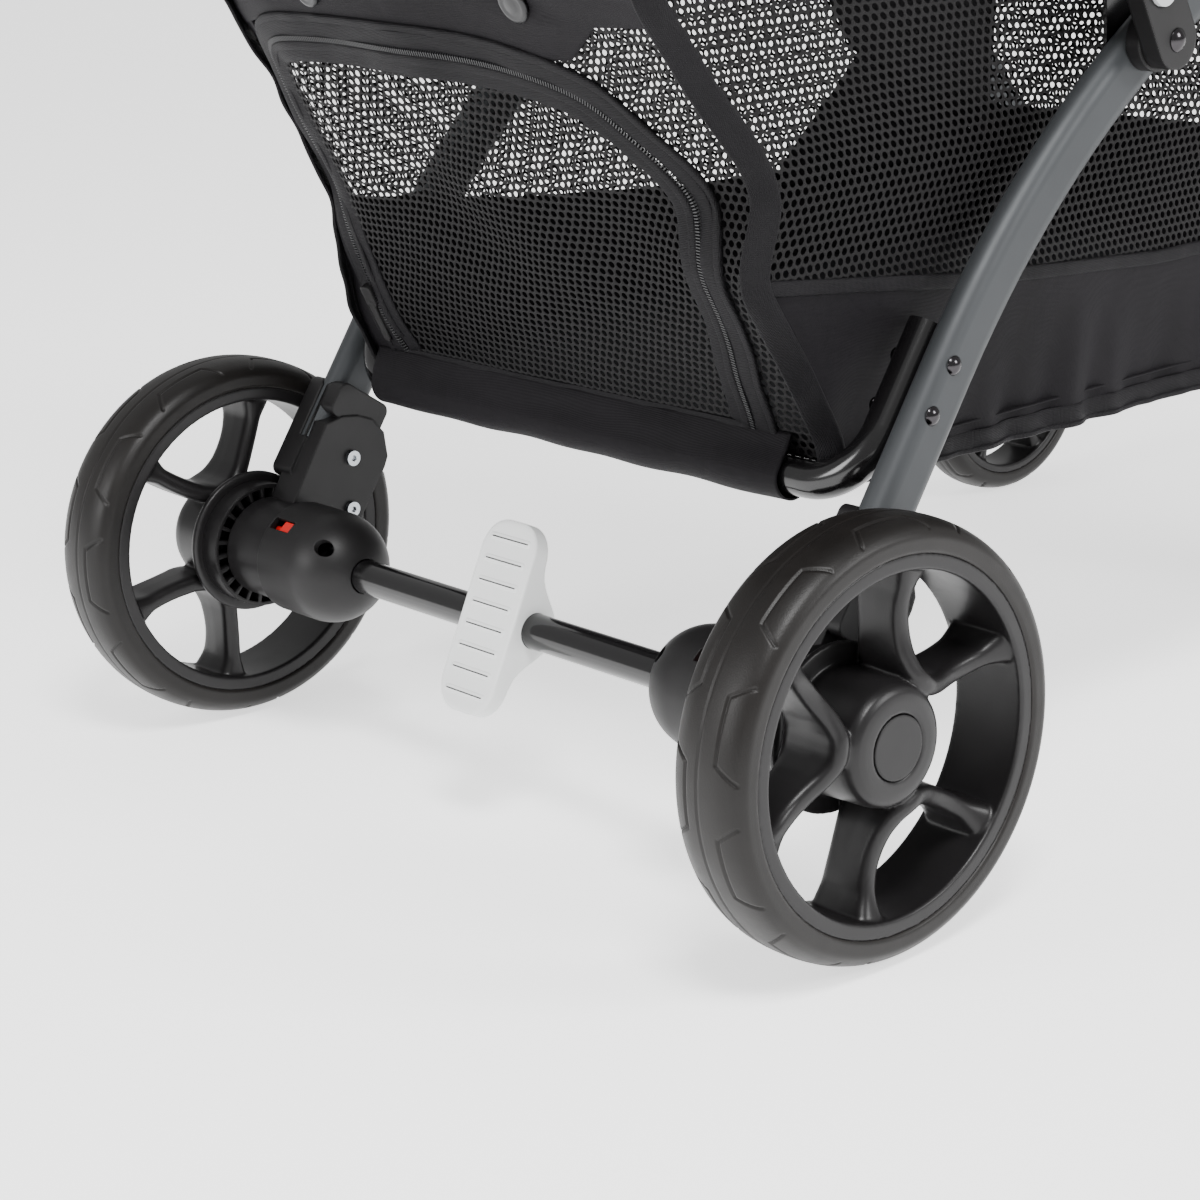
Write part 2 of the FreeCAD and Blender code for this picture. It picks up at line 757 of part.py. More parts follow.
def u_tube(label, origin, up, half, arm, bend, section, hollow=True):
    """U-shaped tube with its cross run at the origin and its arms along up, at x = +-half."""
    plane = frame(origin, Vector(1, 0, 0), up)
    arm_run = add_size(label + "_arm_run", arm - val(bend))
    cross_run = add_size(label + "_cross_run", 2 * half - 2 * val(bend))
    return tube(label, plane, Vector(half, arm, 0), -90, u_steps(arm_run, bend, cross_run), section, hollow)


def front_hinges():
    """Hinge brackets at the front ends of the rear legs, open below for the front legs."""
    along = heading(leg_end_angle)
    for name, side in SIDES.items():
        body = new_body("front_hinge_" + name)
        shell = new_sketch(body, facing(side * SIDE_X, HINGE, along))
        outline(shell, rounded_box(-66.0, 62.0, -18.0, 18.0, 9.0))
        pad(body, shell, "{leg_thickness} + 7", symmetric=True)
        channel = new_sketch(body, facing(side * SIDE_X, HINGE, along))
        polygon(channel, [(-70, -14.6), (26, -14.6), (26, 30), (-70, 30)])
        pocket(body, channel, "{leg_thickness} + 0.6", symmetric=True)
        below = new_sketch(body, facing(side * SIDE_X, HINGE, along))
        polygon(below, [(20, 2), (70, 2), (70, 30), (-6, 30), (4, 15)])
        pocket(body, below, "60", symmetric=True)
        hole = new_sketch(body, facing(side * SIDE_X, HINGE, along))
        circle(hole, 0, 0, "4.02")
        pocket(body, hole, "60", symmetric=True)
        across = Vector(1, 0, 0)
        rail = heading(val("rail_angle"))
        seat = HINGE + along * 62 + rail * 8 + Vector(side * SIDE_X, 0, val("rail_rise"))
        mouth = new_sketch(body, frame(seat, across, rail.cross(across)))
        circle(mouth, 0, 0, "{rail_diameter} / 2 + 0.1")
        pocket(body, mouth, "24")


def rail_and_support():
    """Front rail of the cabin and the tube that carries its floor."""
    plane = val("support_arm_plane")
    arm = val("support_arm")
    u_tube("cabin_support_tube", SUPPORT, support_up, plane, arm, "support_bend", ("support_tube_diameter",))
    back = heading(val("rail_angle") + 180)
    overlap = val("rail_overlap")
    start = HINGE + heading(leg_end_angle) * overlap + Vector(0, 0, val("rail_rise") + 0.6)
    reach = val("rail_reach") - overlap
    u_tube("front_rail", start - back * reach, back, SIDE_X, reach, "rail_bend", ("rail_diameter",))


def axle_and_nuts():
    """Steel axle through both brackets, and the nuts at its ends."""
    half = WHEEL_X + 13.4
    start = AXLE + Vector(-half, 0, 0)
    bar = cylinder("axle_bar", "{axle_diameter} / 2", str(2 * half), start, Vector(1, 0, 0))
    keep(bar, "rear_axle")
    nuts = []
    for name, side in SIDES.items():
        nut = doc.addObject("Part::Prism", "nut_" + name)
        nut.Polygon = 6
        nut.Circumradius = 7.4
        nut.Height = 4.6
        base = AXLE + Vector(side * (WHEEL_X + 8.4), 0, 0)
        nut.Placement = Placement(base, Rotation(Vector(0, 0, 1), Vector(side, 0, 0)))
        out = Vector(side, 0, 0)
        bore = cylinder("nut_bore_" + name, "{axle_diameter} / 2", "20", base - out, out)
        nuts.append(cut("axle_nut_" + name, nut, bore))
    return nuts


# ---------------------------------------------------------------- brake
def brake_domes():
    """Domed covers over the brake's cams, with a slot for the red indicator."""
    for name, side in SIDES.items():
        body = new_body("brake_dome_" + name)
        radius = val("dome_radius")
        wall = val("dome_wall")
        seam = val("dome_seam")
        centre = val("dome_inner_end") + radius
        mouth = val("brake_tube_diameter") / 2 + 0.4
        section = new_sketch(body, wheel_profile(0, AXLE, side))

        def cap(size):
            start = math.pi - math.asin(mouth / size)
            ring = Part.Circle(Vector(centre, 0, 0), Vector(0, 0, 1), size)
            return Part.ArcOfCircle(ring, math.pi / 2, start)

        outer = cap(radius)
        inner = cap(radius - wall)
        outline(
            section,
            [
                Part.LineSegment(Vector(seam - 0.05, radius, 0), outer.StartPoint),
                outer,
                Part.LineSegment(outer.EndPoint, inner.EndPoint),
                inner,
                Part.LineSegment(inner.StartPoint, Vector(seam - 0.05, radius - wall, 0)),
                Part.LineSegment(Vector(seam - 0.05, radius - wall, 0), Vector(seam - 0.05, radius, 0)),
            ],
        )
        revolve(body, section)
        turn = val("brake_pin_angle")
        top = AXLE + heading(turn) * (radius + 2)
        window = new_sketch(body, frame(top, Vector(side, 0, 0), heading(turn).cross(Vector(side, 0, 0))))
        polygon(window, [(157.5, -3.6), (174.8, -3.6), (174.8, 3.6), (157.5, 3.6)])
        pocket(body, window, "12")
        fixing = AXLE + heading(45) * (radius + 2)
        hole = new_sketch(body, frame(fixing, Vector(side, 0, 0), heading(45).cross(Vector(side, 0, 0))))
        circle(hole, 131, 0, "4.5")
        pocket(body, hole, "16")


def brake_linkage():
    """Tube that turns on the axle, its pedal and the two sliding pins."""
    length = val("brake_tube_length")
    body = new_body("brake_tube")
    ring = new_sketch(body, side_frame(-length / 2, AXLE))
    circle(ring, 0, 0, "{brake_tube_diameter} / 2")
    circle(ring, 0, 0, "{axle_diameter} / 2 + {running_gap}")
    pad(body, ring, "{brake_tube_length}")
    for side in SIDES.values():
        cam = new_sketch(body, side_frame(side * (length / 2 - 14), AXLE))
        circle(cam, 0, 0, "{brake_tube_diameter} / 2 + 9")
        circle(cam, 0, 0, "{brake_tube_diameter} / 2 - 1")
        pad(body, cam, "10", reverse=side < 0)
    for name, side in SIDES.items():
        turn = val("brake_pin_angle")
        out = Vector(side, 0, 0)
        circle_radius = val("brake_pin_circle")
        start = AXLE + heading(turn) * circle_radius + out * 152
        rod = cylinder("pin_rod_" + name, "{brake_pin_diameter} / 2", "56.6", start, out)
        tab = doc.addObject("Part::Box", "pin_tab_" + name)
        tab.Length = 7
        tab.Width = 6
        tab.Height = 8.6
        corner = AXLE + heading(turn) * (circle_radius - 3)
        across = heading(turn).cross(Vector(1, 0, 0))
        low_x = 160 if side > 0 else -167
        base = corner + Vector(low_x, 0, 0) - across * 3
        tab.Placement = frame(base, Vector(1, 0, 0), across)
        keep(fuse("pin_" + name, [rod, tab]), "brake_pin_" + name)
    brake_pedal()


def brake_pedal():
    """Rocking pedal with a ribbed tread and a boss round the brake tube."""
    body = new_body("brake_pedal")
    along = heading(val("pedal_tilt"))
    out = heading(val("pedal_tilt") - 90)
    back = 6.5
    plane = frame(AXLE + out * back, Vector(1, 0, 0), along)
    plate = new_sketch(body, plane)
    half = val("pedal_length") / 2
    breadth = val("pedal_width") / 2
    outline(plate, rounded_box(-breadth, breadth, -half, half, 13.0))
    pad(body, plate, "{pedal_thickness}", reverse=True)
    boss = new_sketch(body, side_frame(-15, AXLE))
    circle(boss, 0, 0, "{brake_tube_diameter} / 2 + 4.5")
    pad(body, boss, "30")
    gusset = new_sketch(body, facing(0, AXLE, along))
    polygon(gusset, [(-38, -back), (38, -back), (9, 11), (-9, 11)])
    pad(body, gusset, "9", symmetric=True)
    bore = new_sketch(body, side_frame(-40, AXLE))
    circle(bore, 0, 0, "{brake_tube_diameter} / 2 + 0.02")
    pocket(body, bore, "80", reverse=True)
    face = frame(AXLE + out * (back + val("pedal_thickness")), Vector(1, 0, 0), along)
    for index in range(8):
        rib = new_sketch(body, face)
        y = (index - 3.5) * 11.2
        outline(rib, rounded_box(-12.5, 12.5, y - 1.2, y + 1.2, 1.1))
        pad(body, rib, "0.9", reverse=True)


# ---------------------------------------------------------------- handle
def handle():
    """Handle frame: fittings at the fold joint, side tubes, grip bar and lock buttons."""
    slope = val("handle_slope")
    along = heading(slope)
    steps = [("run", "handle_straight"), ("bend", "handle_bend", -val("handle_bend_angle"))]
    foot = FOLD + along * val("fitting_run")
    for name, side in SIDES.items():
        plane = side_frame(side * val("handle_plane"))
        tube("handle_tube_" + name, plane, Vector(foot.y, foot.z, 0), slope, steps, ("handle_diameter",))
        fold_fitting(name, side, along)
    end = Vector(0, foot.y + handle_walk[-1][0].x, foot.z + handle_walk[-1][0].y)
    rear = heading(bar_slope)
    reach = val("bar_arm") + val("bar_bend")
    u_tube(
        "handle_bar", end + rear * reach, rear * -1, val("handle_plane"), reach - 0.02, "bar_bend",
        ("handle_diameter",),
    )
    grip = new_body("handle_grip")
    ring = new_sketch(grip, side_frame(-val("grip_length") / 2, end + rear * reach))
    circle(ring, 0, 0, "{grip_diameter} / 2")
    circle(ring, 0, 0, "{handle_diameter} / 2 + 0.02")
    pad(grip, ring, "{grip_length}")


def fold_fitting(name, side, along):
    """Plastic fitting at the foot of a handle tube, with the lock button in its face."""
    body = new_body("fold_fitting_" + name)
    inner = val("fitting_inner")
    half = val("fitting_width") / 2
    plate = new_sketch(body, facing(side * inner, FOLD, along))
    normal = Vector(0, 0, 1)
    foot = Part.ArcOfCircle(Part.Circle(Vector(0, 0, 0), normal, half), math.pi / 2, 3 * math.pi / 2)
    top = val("fitting_run") + 16
    outline(
        plate,
        [
            foot,
            Part.LineSegment(Vector(0, -half, 0), Vector(top, -half, 0)),
            Part.LineSegment(Vector(top, -half, 0), Vector(top, half, 0)),
            Part.LineSegment(Vector(top, half, 0), Vector(0, half, 0)),
        ],
    )
    pad(body, plate, "{fitting_thickness}", reverse=side < 0)
    collar_start = FOLD + along * (val("fitting_run") - 14) + Vector(side * val("handle_plane"), 0, 0)
    across = Vector(1, 0, 0)
    ring = new_sketch(body, frame(collar_start, across, along.cross(across)))
    circle(ring, 0, 0, "{fitting_width} / 2")
    pad(body, ring, "40")
    mouth = new_sketch(body, frame(collar_start + along * 50, across, along.cross(across)))
    circle(mouth, 0, 0, "{handle_diameter} / 2 + 0.05")
    pocket(body, mouth, "36.05")
    pivot = new_sketch(body, side_frame(side * (inner - 1), FOLD))
    circle(pivot, 0, 0, "4 + {running_gap}")
    pocket(body, pivot, "60", reverse=side > 0)
    seat = FOLD + along * 27
    recess = new_sketch(body, side_frame(side * (inner + val("fitting_thickness") + 1), seat))
    circle(recess, 0, 0, "8.3")
    pocket(body, recess, "8", reverse=side < 0)
    button = new_body("fold_button_" + name)
    face = new_sketch(button, side_frame(side * (inner + 7.2), seat))
    circle(face, 0, 0, "8")
    pad(button, face, "5", reverse=side < 0)


def fold_pivots():
    """Bosses on the rear legs and pins that carry the handle."""
    bosses = []
    pins = []
    for name, side in SIDES.items():
        out = Vector(side, 0, 0)
        outer = SIDE_X + val("leg_thickness") / 2
        gap = val("fitting_inner") - 0.3 - outer
        bosses.append(cylinder("boss_" + name, "{boss_radius}", str(gap), FOLD + out * outer, out))
        head = FOLD + out * (val("fitting_inner") + val("fitting_thickness") + 0.3)
        length = val("fitting_thickness") + 0.6
        pins.append(pivot_pin("fold_pin_" + name, head, out, length, 4.0, 5.6, 2.6))
    keep(together("boss_set", bosses), "fold_bosses")
    return pins


def pivot_pin(name, base, axis, length, radius, head_radius, dome):
    """Pin with a domed head, its shank running back from base."""
    ball_radius = (head_radius * head_radius + dome * dome) / (2 * dome)
    ball = doc.addObject("Part::Sphere", name + "_ball")
    ball.Radius = ball_radius
    ball.Placement.Base = base - axis * (ball_radius - dome)
    disc = cylinder(name + "_disc", str(head_radius), str(dome + 1), base, axis)
    head = doc.addObject("Part::Common", name + "_head")
    head.Base = ball
    head.Tool = disc
    shank = cylinder(name + "_shank", str(radius), str(length), base - axis * length, axis)
    return fuse(name, [head, shank])


# ---------------------------------------------------------------- front frame and casters
def front_frame(fold_pins):
    """Front legs with their knuckles, the cross tube and the caster housings."""
    run = LEG_TOE - HINGE
    direction = angle_of(run)
    along = heading(direction)
    length = add_size("front_leg_run", run.Length - 20.0)
    for name, side in SIDES.items():
        start = HINGE + along * 10
        plane = side_frame(side * SIDE_X)
        body = tube(
            "front_leg_" + name, plane, Vector(start.y, start.z, 0), direction, [("run", length)],
            ("leg_breadth", "leg_thickness"),
        )
        knuckle = new_sketch(body, side_frame(side * SIDE_X, HINGE))
        circle(knuckle, 0, 0, "{leg_breadth} / 2 - 0.2")
        pad(body, knuckle, "{leg_thickness} - 0.4", symmetric=True)
        bore = new_sketch(body, side_frame(side * SIDE_X, HINGE))
        circle(bore, 0, 0, "4 + {running_gap}")
        pocket(body, bore, "40", symmetric=True)
        caster_housing(name, side, along)
    pins = []
    for name, side in SIDES.items():
        out = Vector(side, 0, 0)
        outer = SIDE_X + val("leg_thickness") / 2 + 3.5
        pins.append(pivot_pin("hinge_pin_" + name, HINGE + out * outer, out, 23.0, 4.0, 7.0, 2.0))
    keep(together("frame_pin_set", pins + fold_pins), "frame_pivot_pins")
    cross = new_body("front_cross_tube")
    inner = SIDE_X - val("leg_thickness") / 2 - 4
    ring = new_sketch(cross, side_frame(-inner, LEG_TOE))
    circle(ring, 0, 0, "{rail_diameter} / 2")
    circle(ring, 0, 0, "{rail_diameter} / 2 - {tube_wall}")
    add_size("cross_length", 2 * inner)
    pad(cross, ring, "{cross_length}")


def caster_housing(name, side, along):
    """Housing that joins the foot of a front leg to the caster's upright socket."""
    body = new_body("caster_housing_" + name)
    low, high = 168.0, 206.0
    socket = new_sketch(body, Placement(Vector(side * CASTER_X, SWIVEL.y, low), Rotation()))
    circle(socket, 0, 0, "{socket_radius}")
    pad(body, socket, str(high - low))
    bridge = new_sketch(body, Placement(Vector(0, 0, low + 6), Rotation()))
    inner = SIDE_X - val("leg_thickness") / 2 - 4
    radius = val("socket_radius")
    polygon(
        bridge,
        [
            (side * inner, SWIVEL.y - 8),
            (side * CASTER_X, SWIVEL.y - radius + 1),
            (side * CASTER_X, SWIVEL.y + radius - 1),
            (side * (SIDE_X + 14), SWIVEL.y + 26),
            (side * inner, SWIVEL.y + 26),
        ],
    )
    pad(body, bridge, "26")
    collar = new_sketch(body, facing(side * SIDE_X, LEG_TOE, along * -1))
    outline(collar, rounded_box(-10.0, 46.0, -18.0, 18.0, 3.0))
    pad(body, collar, "{leg_thickness} + 8", symmetric=True)
    mouth = LEG_TOE - along * 60 + Vector(side * SIDE_X, 0, 0)
    across = Vector(1, 0, 0)
    opening = leg_outline_at(body, frame(mouth, across, along.cross(across) * -1), 0.1)
    pocket(body, opening, "50.1")
    bore = new_sketch(body, Placement(Vector(side * CASTER_X, SWIVEL.y, low - 1), Rotation()))
    circle(bore, 0, 0, "{stem_diameter} / 2 + {running_gap}")
    pocket(body, bore, "33", reverse=True)


def casters():
    """Swivelling forks with their wheel axles."""
    arm_half = val("front_width") / 2 + val("fork_gap")
    wall = val("fork_wall")
    for name, side in SIDES.items():
        x = side * CASTER_X
        body = new_body("caster_fork_" + name)
        crown = new_sketch(body, Placement(Vector(x, 0, 156), Rotation()))
        reach = arm_half + wall
        outline(crown, rounded_box(-reach, reach, SWIVEL.y - 15, FRONT_AXLE.y + 16, 8.0))
        pad(body, crown, "9")
        for sign in (-1, 1):
            arm = new_sketch(body, side_frame(x + sign * (arm_half + wall / 2)))
            low = FRONT_AXLE.z
            polygon(
                arm,
                [
                    (FRONT_AXLE.y - 10, low - 4),
                    (FRONT_AXLE.y - 5, low - 10),
                    (FRONT_AXLE.y + 5, low - 10),
                    (FRONT_AXLE.y + 10, low - 4),
                    (FRONT_AXLE.y + 15, 162),
                    (SWIVEL.y - 10, 162),
                ],
            )
            pad(body, arm, "{fork_wall}", symmetric=True)
        stem = new_sketch(body, Placement(Vector(x, SWIVEL.y, 164), Rotation()))
        circle(stem, 0, 0, "{stem_diameter} / 2")
        pad(body, stem, "35")
        washer = new_sketch(body, Placement(Vector(x, SWIVEL.y, 164), Rotation()))
        circle(washer, 0, 0, "{socket_radius} - 2")
        pad(body, washer, "3.6")
        bore = new_sketch(body, side_frame(x, FRONT_AXLE))
        circle(bore, 0, 0, "3.02")
        pocket(body, bore, "80", symmetric=True)
        half = arm_half + wall
        out = Vector(side, 0, 0)
        base = FRONT_AXLE + Vector(x, 0, 0) + out * half
        keep(
            pivot_pin("wheel_pin_" + name, base, out, 2 * half + 2.0, 3.0, 6.0, 2.4),
            "caster_axle_" + name,
        )


# ---------------------------------------------------------------- cabin and canopy
REAR_LEAN = 0.4488
CABIN_REAR = AXLE.y - 58
CABIN_FRONT = AXLE.y - 530
CABIN_RISE = val("rim_height") - val("floor_height")
CABIN_REAR_TOP = CABIN_REAR + REAR_LEAN * CABIN_RISE
CABIN_FRONT_TOP = CABIN_FRONT - 48
rear_wall_up = Vector(0, REAR_LEAN, 1).normalize()


def cabin_section(body, height, inset):
    """Horizontal section of the cabin's walls at a height, inset from the outside."""
    share = (height - val("floor_height")) / CABIN_RISE
    half = val("cabin_floor_half") + share * (val("cabin_rim_half") - val("cabin_floor_half")) - inset
    rear = CABIN_REAR + share * (CABIN_REAR_TOP - CABIN_REAR) - inset
    front = CABIN_FRONT + share * (CABIN_FRONT_TOP - CABIN_FRONT) + inset
    sketch = new_sketch(body, Placement(Vector(0, 0, height), Rotation()))
    outline(sketch, rounded_box(-half, half, front, rear, val("cabin_corner") - inset))
    return sketch


def loft(body, kind, lower, upper):
    """Loft between two sections."""
    feature = body.newObject("PartDesign::" + kind, body.Label + "_loft")
    feature.Profile = lower
    feature.Sections = [upper]
    feature.Ruled = True
    doc.recompute()
    return feature


def door_outline(sketch, inset):
    """Outline of the rear door on the leaning rear wall, its bottom edge at y = 0."""
    width = val("door_width") - 2 * inset
    high = val("door_height") - inset
    outline(sketch, rounded_box(-width / 2, width / 2, inset, high, 30.0 - inset))


def rear_wall_plane(lift):
    """Plane of the rear wall, lifted off its outside."""
    foot = Vector(0, CABIN_REAR, val("floor_height")) + rear_wall_up * 12
    out = Vector(1, 0, 0).cross(rear_wall_up) * -1
    plane = frame(foot, Vector(1, 0, 0), rear_wall_up)
    plane.Base = plane.Base + out * lift
    return plane


def cabin():
    """Cabin walls and floor with the rear doorway, the door, the rim wire and the base board."""
    wall = val("cabin_wall")
    low = val("floor_height")
    high = val("rim_height")
    body = new_body("cabin_shell")
    loft(body, "AdditiveLoft", cabin_section(body, low, 0), cabin_section(body, high, 0))
    loft(body, "SubtractiveLoft", cabin_section(body, low + wall, wall), cabin_section(body, high + 1, wall))
    doorway = new_sketch(body, rear_wall_plane(20))
    door_outline(doorway, 0)
    pocket(body, doorway, "40", reverse=True)
    door = new_body("rear_door")
    panel = new_sketch(door, rear_wall_plane(-0.3))
    door_outline(panel, 1.0)
    pad(door, panel, "{cabin_wall} - 0.6")
    zip_slider()
    wire = new_body("cabin_rim_wire")
    ring = new_sketch(wire, Placement(Vector(0, 0, high + 3.5), Rotation()))
    inset = wall / 2
    half = val("cabin_rim_half") - inset
    corner = val("cabin_corner") - inset
    outline(ring, rounded_box(-half, half, CABIN_FRONT_TOP + inset, CABIN_REAR_TOP - inset, corner))
    middle = (CABIN_FRONT_TOP + CABIN_REAR_TOP) / 2
    profile = new_sketch(wire, frame(Vector(half, middle, high + 3.5), Vector(1, 0, 0), Vector(0, 0, 1)))
    circle(profile, 0, 0, "3")
    sweep = wire.newObject("PartDesign::AdditivePipe", "rim_sweep")
    sweep.Profile = profile
    sweep.Spine = ring
    doc.recompute()
    board = new_body("base_board")
    slab = new_sketch(board, Placement(Vector(0, 0, low + wall + 0.3), Rotation()))
    half = val("cabin_floor_half") - 8
    outline(slab, rounded_box(-half, half, CABIN_FRONT + 8, CABIN_REAR - 8, 20))
    pad(board, slab, "5")


def zip_slider():
    """Slider of the door's zip, near the foot of the doorway's left edge, with its pull."""
    body = new_body("zip_slider")
    middle = val("door_width") / 2 + 6
    shell = new_sketch(body, rear_wall_plane(0.2))
    outline(shell, rounded_box(middle - 4.2, middle + 4.2, 30, 42, 2.0))
    pad(body, shell, "4", reverse=True)
    pull = new_sketch(body, rear_wall_plane(2.8))
    outline(pull, rounded_box(middle - 2.6, middle + 2.6, 8, 33, 2.0))
    pad(body, pull, "1.6", reverse=True)


def arch_edges(half, top, corner, foot):
    """Edges of an arch in the plane of x and radius, from one foot over to the other."""
    normal = Vector(0, 0, 1)
    right_ring = Part.Circle(Vector(half - corner, top - corner, 0), normal, corner)
    left_ring = Part.Circle(Vector(corner - half, top - corner, 0), normal, corner)
    right = Part.ArcOfCircle(right_ring, 0, math.pi / 2)
    left = Part.ArcOfCircle(left_ring, math.pi / 2, math.pi)
    return [
        Part.LineSegment(Vector(half, foot, 0), Vector(half, top - corner, 0)),
        right,
        Part.LineSegment(Vector(half - corner, top, 0), Vector(corner - half, top, 0)),
        left,
        Part.LineSegment(Vector(-half, top - corner, 0), Vector(-half, foot, 0)),
    ]


CANOPY_AXIS = Vector(0, FOLD.y, val("canopy_height"))


def canopy_cover(label, lift, start, end):
    """Part of the canopy: an arch turned about the canopy's axis from start to end."""
    body = new_body(label)
    section = new_sketch(body, frame(CANOPY_AXIS, Vector(1, 0, 0), heading(start)))
    side = val("canopy_side") + lift
    top = val("canopy_radius") + lift
    sheet_gauge = val("canopy_sheet")
    corner = val("canopy_corner")
    foot = 28.0
    edges = arch_edges(side + sheet_gauge, top + sheet_gauge, corner + sheet_gauge, foot)
    edges += arch_edges(side, top, corner, foot)
    for sign in (-1, 1):
        inner = Vector(sign * side, foot, 0)
        outer = Vector(sign * (side + sheet_gauge), foot, 0)
        edges.append(Part.LineSegment(inner, outer))
    outline(section, edges)
    revolve(body, section, end - start)
    return body


def canopy_bow(label, side, top, angle, corner_alias, foot):
    """Rod bow of the canopy, its feet beside the canopy's axis."""
    up = heading(angle) * -1
    origin = CANOPY_AXIS + heading(angle) * top
    return u_tube(label, origin, up, side, top - foot, corner_alias, ("bow_diameter",), hollow=False)


def canopy():
    """Canopy in three nested covers, with its bows, pivots and posts."""
    corner = add_size("bow_corner", val("canopy_corner") - 3.3)
    rear = val("canopy_rear_angle")
    middle = val("canopy_middle_angle")
    upper = val("canopy_upper_angle")
    front = val("canopy_front_angle")
    canopy_cover("canopy_rear_cover", 0, rear, middle)
    canopy_cover("canopy_middle_cover", 4, middle - 4, upper)
    canopy_cover("canopy_front_cover", 8, upper - 4, front)
    side = val("canopy_side") - 3.4
    top = val("canopy_radius") - 3.4
    canopy_bow("canopy_rear_bow", side, top, rear + 1.2, corner, 10.0)
    moving = canopy_bow("canopy_front_bow", side + 8, top + 8, front - 1.2, corner, 14.6)
    axis_point = Vector(0, CANOPY_AXIS.y, CANOPY_AXIS.z)
    for sign in SIDES.values():
        eye = new_sketch(moving, side_frame(sign * 188.8, axis_point))
        circle(eye, 0, 0, "15")
        pad(moving, eye, "3.8", reverse=sign < 0)
    for sign in SIDES.values():
        bore = new_sketch(moving, side_frame(sign * 188, axis_point))
        circle(bore, 0, 0, "3 + {running_gap}")
        pocket(moving, bore, "6", reverse=sign > 0)
    pivots = []
    posts = []
    for name, sign in SIDES.items():
        out = Vector(sign, 0, 0)
        disc = cylinder("pivot_disc_" + name, "14", "6", CANOPY_AXIS + out * 182, out)
        pin = cylinder("pivot_pin_" + name, "3", "7.5", CANOPY_AXIS + out * 187.5, out)
        pivots.append(fuse("canopy_pivot_" + name, [disc, pin]))
        posts.append(canopy_post(name, sign))
    keep(together("pivot_set", pivots), "canopy_pivots")
    keep(together("post_set", posts), "canopy_posts")


def canopy_post(name, sign):
    """Flat bar from the rear leg at the fold joint up to the canopy's pivot."""
    bar = doc.addObject("Part::Box", "post_bar_" + name)
    low = FOLD.z - 22
    bar.Length = 2
    bar.Width = 18
    bar.Height = CANOPY_AXIS.z + 9 - low
    x = 193.0 if sign > 0 else -195.0
    bar.Placement = Placement(Vector(x, FOLD.y - 9, low), Rotation())
    start = CANOPY_AXIS + Vector(x - 8, 0, 0)
    hole = cylinder("post_hole_" + name, "3.02", "20", start, Vector(1, 0, 0))
    return cut("canopy_post_" + name, bar, hole)


# ---------------------------------------------------------------- build and write
rear_wheels()
front_wheels()
rear_legs()
wheel_brackets()
fasteners = frame_fasteners() + axle_and_nuts()
keep(together("screw_and_nut_set", fasteners), "screws_and_nuts")
rail_and_support()
front_hinges()
brake_domes()
brake_linkage()
handle()
front_frame(fold_pivots())
casters()
cabin()
canopy()
doc.recompute()

for item in doc.Objects:
    if "Invalid" in item.State or "Error" in item.State:
        raise RuntimeError("%s: %s" % (item.Label, item.State))
for part in PARTS:
    if part.Shape.isNull() or not part.Shape.isValid() or not part.Shape.Solids:
        raise RuntimeError(part.Label + ": no valid solid")
    part.Shape.exportStep("parts/%s.step" % part.Label)
print("%d nodes written" % len(PARTS))
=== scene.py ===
"""Looks of the folding pet stroller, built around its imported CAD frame.

Lengths inside the mesh helpers are in millimetres of the CAD frame: +Z up, -Y to the front,
+X to the stroller's left. They become metres when a mesh is made.
"""

import bpy
import bmesh
import math
import numpy as np
from mathutils import Matrix, Vector


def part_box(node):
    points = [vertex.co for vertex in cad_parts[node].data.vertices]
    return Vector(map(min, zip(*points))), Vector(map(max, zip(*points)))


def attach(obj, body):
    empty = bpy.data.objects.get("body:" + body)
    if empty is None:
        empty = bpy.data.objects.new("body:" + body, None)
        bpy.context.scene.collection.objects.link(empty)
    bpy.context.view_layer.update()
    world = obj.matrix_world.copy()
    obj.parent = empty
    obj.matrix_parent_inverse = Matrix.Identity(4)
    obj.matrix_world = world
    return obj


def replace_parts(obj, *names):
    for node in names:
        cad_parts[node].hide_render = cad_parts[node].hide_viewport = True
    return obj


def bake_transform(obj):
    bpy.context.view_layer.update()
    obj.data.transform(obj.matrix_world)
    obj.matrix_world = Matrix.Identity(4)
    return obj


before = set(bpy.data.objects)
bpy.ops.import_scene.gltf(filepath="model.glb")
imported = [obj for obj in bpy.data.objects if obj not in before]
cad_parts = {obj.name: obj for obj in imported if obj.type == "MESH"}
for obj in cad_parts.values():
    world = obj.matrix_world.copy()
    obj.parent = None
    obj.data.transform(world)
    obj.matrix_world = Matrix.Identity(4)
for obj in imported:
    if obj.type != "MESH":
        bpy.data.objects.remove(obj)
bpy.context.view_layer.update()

SIDES = {"left": 1.0, "right": -1.0}


def mm_box(node):
    """Lowest and highest corners of a CAD node, in millimetres."""
    low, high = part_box(node)
    return np.array(low) * 1000.0, np.array(high) * 1000.0


def mm_centre(node):
    """Middle of a CAD node's box, in millimetres."""
    low, high = mm_box(node)
    return (low + high) / 2.0


# ------------------------------------------------------------------ materials
def new_material(name):
    """Empty node material with its tree and shader."""
    material = bpy.data.materials.new(name)
    material.use_nodes = True
    tree = material.node_tree
    return material, tree, tree.nodes["Principled BSDF"]


def add(tree, kind, **inputs):
    """Node with some of its inputs set by name."""
    node = tree.nodes.new(kind)
    for key, value in inputs.items():
        node.inputs[key.replace("_", " ")].default_value = value
    return node


def noise(tree, where, scale, detail, **inputs):
    """Output of a noise texture over the object's own space."""
    node = add(tree, "ShaderNodeTexNoise", Scale=scale, Detail=detail, **inputs)
    tree.links.new(where, node.inputs["Vector"])
    return node.outputs["Fac"]


def settle(shader, values):
    """Constant values set on the shader's own sockets."""
    for key, value in values.items():
        shader.inputs[key].default_value = value


